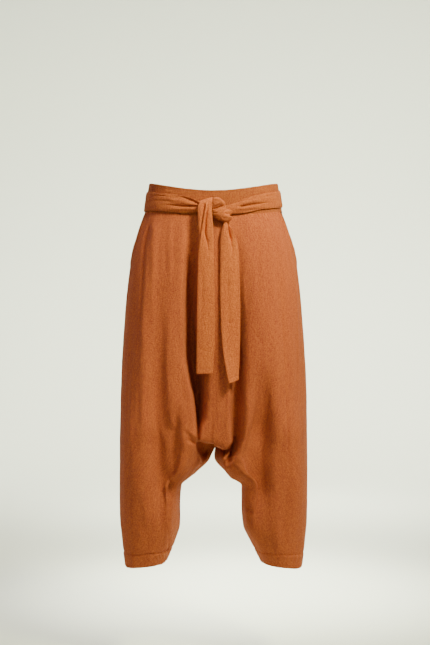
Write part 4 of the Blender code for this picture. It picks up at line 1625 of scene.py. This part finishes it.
UPPER_LOBE = table(
    Rim,
    (-0.0043, -0.0101, -0.116, 1.0),
    (-0.0003, -0.0058, -0.116, 1.0),
    (0.0064, -0.0045, -0.1155, 1.0),
    (0.0133, -0.0058, -0.115, 1.0),
    (0.0202, -0.0108, -0.1145, 1.0),
    (0.0256, -0.017, -0.114, 0.9),
    (0.0249, -0.021, -0.115, 0.9),
    (0.0174, -0.0243, -0.116, 1.0),
    (0.0105, -0.0268, -0.1165, 1.0),
    (0.0023, -0.0293, -0.1165, 1.0),
    (-0.0043, -0.0302, -0.1165, 1.0),
    (-0.0063, -0.0209, -0.1165, 1.0),
)
LOWER_LOBE = table(
    Rim,
    (-0.0046, -0.0325, -0.116, 1.0),
    (0.0047, -0.0288, -0.1165, 1.0),
    (0.0152, -0.0256, -0.1165, 0.9),
    (0.0262, -0.0228, -0.114, 0.6),
    (0.0345, -0.0245, -0.1085, 0.0),
    (0.043, -0.032, -0.108, 0.0),
    (0.0395, -0.0395, -0.1085, 0.0),
    (0.035, -0.0437, -0.113, 0.6),
    (0.0409, -0.0493, -0.115, 1.0),
    (0.037, -0.0549, -0.115, 1.0),
    (0.026, -0.0603, -0.115, 1.0),
    (0.0142, -0.0558, -0.115, 1.0),
    (0.0023, -0.0489, -0.115, 1.0),
    (-0.0039, -0.0402, -0.1155, 1.0),
)
LOBE_CREASES = {
    "upper": table(
        Crease,
        (((-0.005, -0.0262), (0.008, -0.024), (0.02, -0.018)), 0.0022, 0.0014, CLEFT),
        (((-0.004, -0.014), (0.006, -0.013), (0.018, -0.015)), 0.003, 0.0008),
        (((-0.004, -0.0075), (-0.0022, -0.0095), (-0.0012, -0.0105)), 0.0014, 0.003, CLEFT, 0.2, 0.4),
        (((-0.004, -0.0185), (-0.0022, -0.0195), (-0.0012, -0.0205)), 0.0014, 0.003, CLEFT, 0.2, 0.4),
    ),
    "lower": table(
        Crease,
        (((-0.004, -0.035), (0.002, -0.0345), (0.008, -0.031)), 0.0014, 0.0018, CLEFT, 0.0, 0.6),
        (((-0.004, -0.0375), (0.005, -0.04), (0.013, -0.0385)), 0.0016, 0.0018, CLEFT, 0.0, 0.6),
        (((-0.002, -0.044), (0.008, -0.047), (0.018, -0.048)), 0.0018, 0.0016, CLEFT, 0.1, 0.5),
        (((0.017, -0.043), (0.027, -0.044), (0.036, -0.048)), 0.0018, 0.0014, CLEFT),
        (((0.015, -0.049), (0.025, -0.0505), (0.035, -0.052)), 0.0016, 0.0012, CLEFT),
        (((0.015, -0.0275), (0.022, -0.026), (0.026, -0.0275)), 0.0016, 0.0022, CLEFT),
        (((0.026, -0.03), (0.035, -0.03), (0.044, -0.029)), 0.0024, 0.0014, CLEFT),
    ),
}


@dataclass
class Sash:
    """The tie sash: its stretches over the waistband, its knot and its free ends."""

    # Finish of the tails: the lighter sash copy, painted light on them.
    cloth: bpy.types.Material
    # Finish of the stretches and lobes: the darker copy, painted shade on them.
    wrap_cloth: bpy.types.Material
    band: Waistband
    stitching: Stitching
    thick: float = 0.0017
    off_band: float = 0.0006
    solid_thick: float = 0.0022
    right_end_x: float = 0.004
    left_end_x: float = 0.022
    edge_dip: float = 0.0007
    least_gap: float = 0.0004
    wrap_rows: int = 49
    wrap_columns: int = 161
    tail_rows: int = 260
    tail_columns: int = 43
    tail_hem: float = 0.01
    edge_stitch_column: int = 2
    first_stitch_row: int = 60
    lobe_rings: int = 80
    lobe_sides: int = 112

    def wrap(
        self,
        facing: Facing,
        word: str,
        edges: Sequence[Wrap],
        share: np.ndarray,
        across: np.ndarray,
        turned: int,
    ) -> None:
        """Builds one stretch over the waistband.

        Args:
            facing: Front or back.
            word: The stretch's part of its node's name.
            edges: Its edges and relief.
            share: Each column's share of the stretch's way.
            across: Each column's place across the band.
            turned: Which way round the grid runs.
        """
        at = {name: curve_of(edges, name, "share")(share)[None, :] for name in Wrap._fields[1:]}
        down = np.linspace(0, 1, self.wrap_rows)[:, None]
        z = at["upper_z"] + (at["lower_z"] - at["upper_z"]) * down
        hollow = bell(down / 0.05) + bell((1 - down) / 0.05)
        crown = 0.55 + 0.45 * np.sin(math.pi * down)
        out = self.band.stands_out + self.off_band + self.solid_thick + at["relief"] * crown
        out -= self.edge_dip * hollow
        grid = self.band.point(facing, across[None, :], z=z, out=out)
        normals = outward(grid, turned)
        depth = WRAP_RIPPLES.over(grid, len(word))
        for crease in WRAP_CREASES[word]:
            depth += crease_depth(grid, normals, crease)
        fade = ease(share / 0.04) if word != "back" else ease(np.minimum(share, 1 - share) / 0.03)
        deepest = out - self.band.stands_out - self.thick - self.least_gap
        depth = np.minimum(depth * fade[None, :], deepest)
        grid = grid - normals * depth[..., None]
        seams = (0,) if word != "back" else (0, -1)
        for column in seams:
            grid[:, column, 1] = facing.value * SEAM_GAP / 2
        length = float(np.linalg.norm(np.diff(grid[self.wrap_rows // 2], axis=0), axis=1).sum())
        Sheet(
            f"sash_{word}_cloth", grid, normals, self.thick, self.wrap_cloth, (f"sash_{word}",),
            (0.045, round(length, 3)), Held.FOLDED, rests_on=(f"waistband_{facing.word}",),
        ).build()

    def tail(self, word: str, form: Sequence[Tail]) -> None:
        """Builds a free end.

        Args:
            word: The wearer's side.
            form: The end's form down its length.
        """
        place = np.linspace(0, len(form) - 1, self.tail_rows)
        at = {name: curve_of(form, name)(place)[:, None] for name in Tail._fields}
        turned, tilt = np.radians(at["turned"]), np.radians(at["tilt"])
        off = np.linspace(-1, 1, self.tail_columns)[None, :]
        level = np.cos(tilt)
        across = np.stack([np.cos(turned) * level, np.sin(turned) * level, np.sin(tilt)], axis=2)
        out = np.stack([np.sin(turned), -np.cos(turned), np.zeros_like(turned)], axis=2)
        middle = np.stack([at["x"], at["y"], at["z"]], axis=2)
        bow = at["bow"] * (1 - off * off)
        grid = middle + across * (at["width"] * off / 2)[..., None] + out * bow[..., None]
        normals = outward(grid, 1)
        depth = TAIL_WAVES.over(grid, len(word)) + TAIL_RIPPLES.over(grid)
        for crease in TAIL_CREASES[word]:
            depth += crease_depth(grid, normals, crease)
        depth += 0.0004 * bell((1 - np.abs(off)) / 0.1)
        up = np.linalg.norm(grid - grid[-1:], axis=2)
        depth += 0.0006 * bell((up - self.tail_hem) / 0.0014)
        grid = grid - normals * depth[..., None]
        centre = self.tail_columns // 2
        length = float(np.linalg.norm(np.diff(grid[:, centre], axis=0), axis=1).sum())
        name = f"tail_{word}"
        Sheet(
            f"{name}_cloth", grid, normals, self.thick, self.cloth, (name,),
            (0.042, round(length, 3)), Held.HUNG, rests_on=(f"sash_{word}_cloth",),
        ).build()
        row = int(np.argmin(np.abs(up[:, centre] - self.tail_hem)))
        edge = self.edge_stitch_column
        stitched = slice(self.first_stitch_row, row)
        lines = [(grid[row, edge:-edge], normals[row, edge:-edge])]
        lines += [(grid[stitched, column], normals[stitched, column]) for column in (edge, -edge - 1)]
        self.stitching.sew(f"{name}_stitching", lines, f"{name}_cloth")

    def lobe(self, word: str, rims: Sequence[Rim], peak: Numbers, back_y: float) -> None:
        """Builds a lobe of the knot from a round primitive, whose poles become its front and hidden back.

        Args:
            word: Upper or lower.
            rims: Its outline.
            peak: The middle of its front.
            back_y: How far back it reaches.
        """
        rings, sides = self.lobe_rings, self.lobe_sides
        bpy.ops.object.select_all(action="DESELECT")
        bpy.ops.mesh.primitive_uv_sphere_add(segments=sides, ring_count=rings, radius=1.0)
        piece = bpy.context.active_object
        piece.name = f"knot_{word}_lobe_cloth"
        mesh = piece.data
        start = np.array([v.co for v in mesh.vertices])
        ring = np.rint(np.arccos(np.clip(start[:, 2], -1, 1)) / math.pi * rings).astype(int)
        side = np.rint(np.arctan2(start[:, 1], start[:, 0]) / (2 * math.pi) * sides).astype(int) % sides
        turns = np.arange(sides) / sides * len(rims) + len(rims)
        at = {
            name: Curve(range(3 * len(rims)), [getattr(rim, name) for rim in rims] * 3)(turns)[None, :]
            for name in Rim._fields
        }
        polar = np.linspace(0, math.pi, rings + 1)[:, None]
        far = np.sin(polar)
        front = (1 - far ** (2 + at["round"])) ** (2 - 1.5 * at["round"]) * (peak[1] - at["y"])
        back = (1 - far * far) ** 0.5 * (back_y - at["y"])
        y = at["y"] + np.where(polar <= math.pi / 2, front, back)
        x, z = peak[0] + (at["x"] - peak[0]) * far, peak[2] + (at["z"] - peak[2]) * far
        grid = np.stack(np.broadcast_arrays(x, y, z), axis=2)
        wrapped = np.concatenate([grid[:, -1:], grid, grid[:, :1]], axis=1)
        normals = outward(wrapped, 1)[:, 1:-1]
        if ((grid - grid.mean(axis=(0, 1))) * normals).sum() < 0:
            normals = -normals
        normals[0], normals[-1] = (0, -1, 0), (0, 1, 0)
        shown = grid.copy()
        shown[rings // 2 + 1:] += (0, 0, 1)
        depth = LOBE_RIPPLES.over(grid)
        for crease in LOBE_CREASES[word]:
            depth += crease_depth(shown, normals, crease)
        grid = grid - normals * depth[..., None]
        reshape(mesh, grid[ring, side], normals[ring, side], grid[ring, side][:, [2, 0]])
        bpy.ops.object.shade_smooth()
        mesh.materials.append(self.wrap_cloth)
        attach(piece, BODY)
        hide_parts(f"knot_{word}_lobe")
        LOG.info("%s: %d faces", piece.name, len(mesh.polygons))

    def build(self) -> None:
        """Builds every stretch, the knot and both free ends."""
        half_width = SECTIONS[0].half_width
        share = np.linspace(0, 1, self.wrap_columns)
        right_end = math.acos(-self.right_end_x / half_width) / math.pi
        left_end = math.acos(-self.left_end_x / half_width) / math.pi
        self.wrap(Facing.FRONT, "right", RIGHT_WRAP, share, right_end * share, 1)
        self.wrap(Facing.FRONT, "left", LEFT_WRAP, share, 1 + (left_end - 1) * share, -1)
        self.wrap(Facing.BACK, "back", BACK_WRAP, share, share, -1)
        self.lobe("upper", UPPER_LOBE, (0.0085, -0.1238, -0.015), -0.1115)
        self.lobe("lower", LOWER_LOBE, (0.017, -0.125, -0.0415), -0.111)
        self.tail("right", RIGHT_TAIL)
        self.tail("left", LEFT_TAIL)


# The studio


PLAIN_WHITE = (1.0, 1.0, 1.0)


@dataclass(frozen=True)
class Lamp:
    """A soft lamp: where it stands, where it aims, its size, its strength and how wide it shines."""

    name: str
    place: Numbers
    aim: Numbers
    size: float
    watts: float
    spread: float = 110.0
    colour: Numbers = PLAIN_WHITE


LAMPS = (
    Lamp("key_lamp", (0.95, -1.1, 1.35), (0.12, 0.0, -0.02), 0.5, 21.0, 90.0, (1.0, 1.02, 0.68)),
    Lamp("fill_lamp", (-0.7, -1.5, 1.5), (0.0, 0.0, -0.1), 1.0, 2.2, 100.0),
    Lamp("floor_lamp", (0.1, 0.65, -0.5), (0.1, 0.65, -1.02), 1.1, 16.0, 110.0),
    Lamp("far_floor_lamp", (0.2, 1.9, -0.35), (0.2, 1.9, -1.02), 1.6, 16.0, 120.0),
    Lamp("back_lamp", (0.0, 3.0, 3.2), (0.0, 2.6, -1.0), 2.4, 80.0),
    Lamp("backdrop_left_lamp", (-1.5, 1.5, 1.9), (-0.6, 5.4, -0.2), 1.4, 95.0),
    Lamp("backdrop_right_lamp", (1.5, 1.5, 1.9), (0.6, 5.4, -0.2), 1.4, 190.0),
)


@dataclass
class Studio:
    """A pale floor that rises into a round backdrop, soft lamps and the camera."""

    floor_z: float = -1.02
    floor_radius: float = 3.6
    wall_radius: float = 5.8
    wall_top: float = 5.0
    pale: Numbers = (0.62, 0.665, 0.475)
    ambient: float = 0.62
    ambient_colour: Numbers = (1.0, 0.67, 1.5)
    lens: float = 70.0
    camera_place: Numbers = (0.0034, -2.83, -0.276)

    def backdrop(self) -> None:
        """Builds the floor and backdrop as one surface turned about the upright axis."""
        bend = self.wall_radius - self.floor_radius
        angles = np.linspace(0, math.pi / 2, 20)
        profile = [(r, self.floor_z) for r in np.linspace(0.001, self.floor_radius, 12)[:-1]]
        profile += [
            (self.floor_radius + bend * math.sin(a), self.floor_z + bend * (1 - math.cos(a))) for a in angles
        ]
        profile.append((self.wall_radius, self.wall_top))
        bpy.ops.object.select_all(action="DESELECT")
        bpy.ops.mesh.primitive_grid_add(x_subdivisions=96, y_subdivisions=len(profile) - 1, size=2)
        floor = bpy.context.active_object
        floor.name = "floor_and_backdrop"
        for vertex in floor.data.vertices:
            turn = (vertex.co.x + 1) * math.pi
            radius, z = profile[int(round((vertex.co.y + 1) / 2 * (len(profile) - 1)))]
            vertex.co = (radius * math.cos(turn), radius * math.sin(turn), z)
        bpy.ops.object.shade_smooth()
        material, tree, shader = new_material("pale_backdrop", 0.95)
        dim = tuple(0.985 * c for c in self.pale)
        feed(tree, shader, {"Base Color": blend(tree, dim, self.pale, speckle(tree, 1.5))})
        floor.data.materials.append(material)

    def lamps(self) -> None:
        """Hangs the soft lamps and sets the even light from all round."""
        for lamp in LAMPS:
            light = bpy.data.lights.new(lamp.name, "AREA")
            light.shape = "DISK"
            light.size, light.energy, light.spread = lamp.size, lamp.watts, math.radians(lamp.spread)
            light.color = lamp.colour
            thing = bpy.data.objects.new(lamp.name, light)
            thing.location = lamp.place
            thing.visible_camera = False
            aim = Vector(lamp.aim) - Vector(lamp.place)
            thing.rotation_euler = aim.to_track_quat("-Z", "Y").to_euler()
            bpy.context.scene.collection.objects.link(thing)
        world = bpy.data.worlds.new("soft_surround")
        world.use_nodes = True
        light = {"Color": (*self.ambient_colour, 1), "Strength": self.ambient}
        feed(world.node_tree, world.node_tree.nodes["Background"], light)
        bpy.context.scene.world = world

    def camera(self) -> None:
        """Places the camera level with the middle of the garment, straight in front."""
        data = bpy.data.cameras.new("camera")
        data.lens = self.lens
        thing = bpy.data.objects.new("camera", data)
        thing.location = self.camera_place
        thing.rotation_euler = (math.pi / 2, 0, 0)
        bpy.context.scene.collection.objects.link(thing)
        bpy.context.scene.camera = thing

    def build(self) -> None:
        """Builds the whole studio."""
        self.backdrop()
        self.lamps()
        self.camera()


def main() -> None:
    """Builds the garment and its studio, and notes the sizes."""
    logging.basicConfig(level=logging.INFO, format="%(name)s: %(message)s")
    stitching = Stitching(ThreadFinish().material())
    Trousers(PANEL_CLOTH.material(), HIP_SHADED_CLOTH.material(), stitching).build()
    band = Waistband(BAND_SHADED_CLOTH.material(), stitching)
    band.build()
    Sash(SASH_LIT_CLOTH.material(), WRAP_SHADED_CLOTH.material(), band, stitching).build()
    Studio().build()


if __name__ == "__main__":
    main()
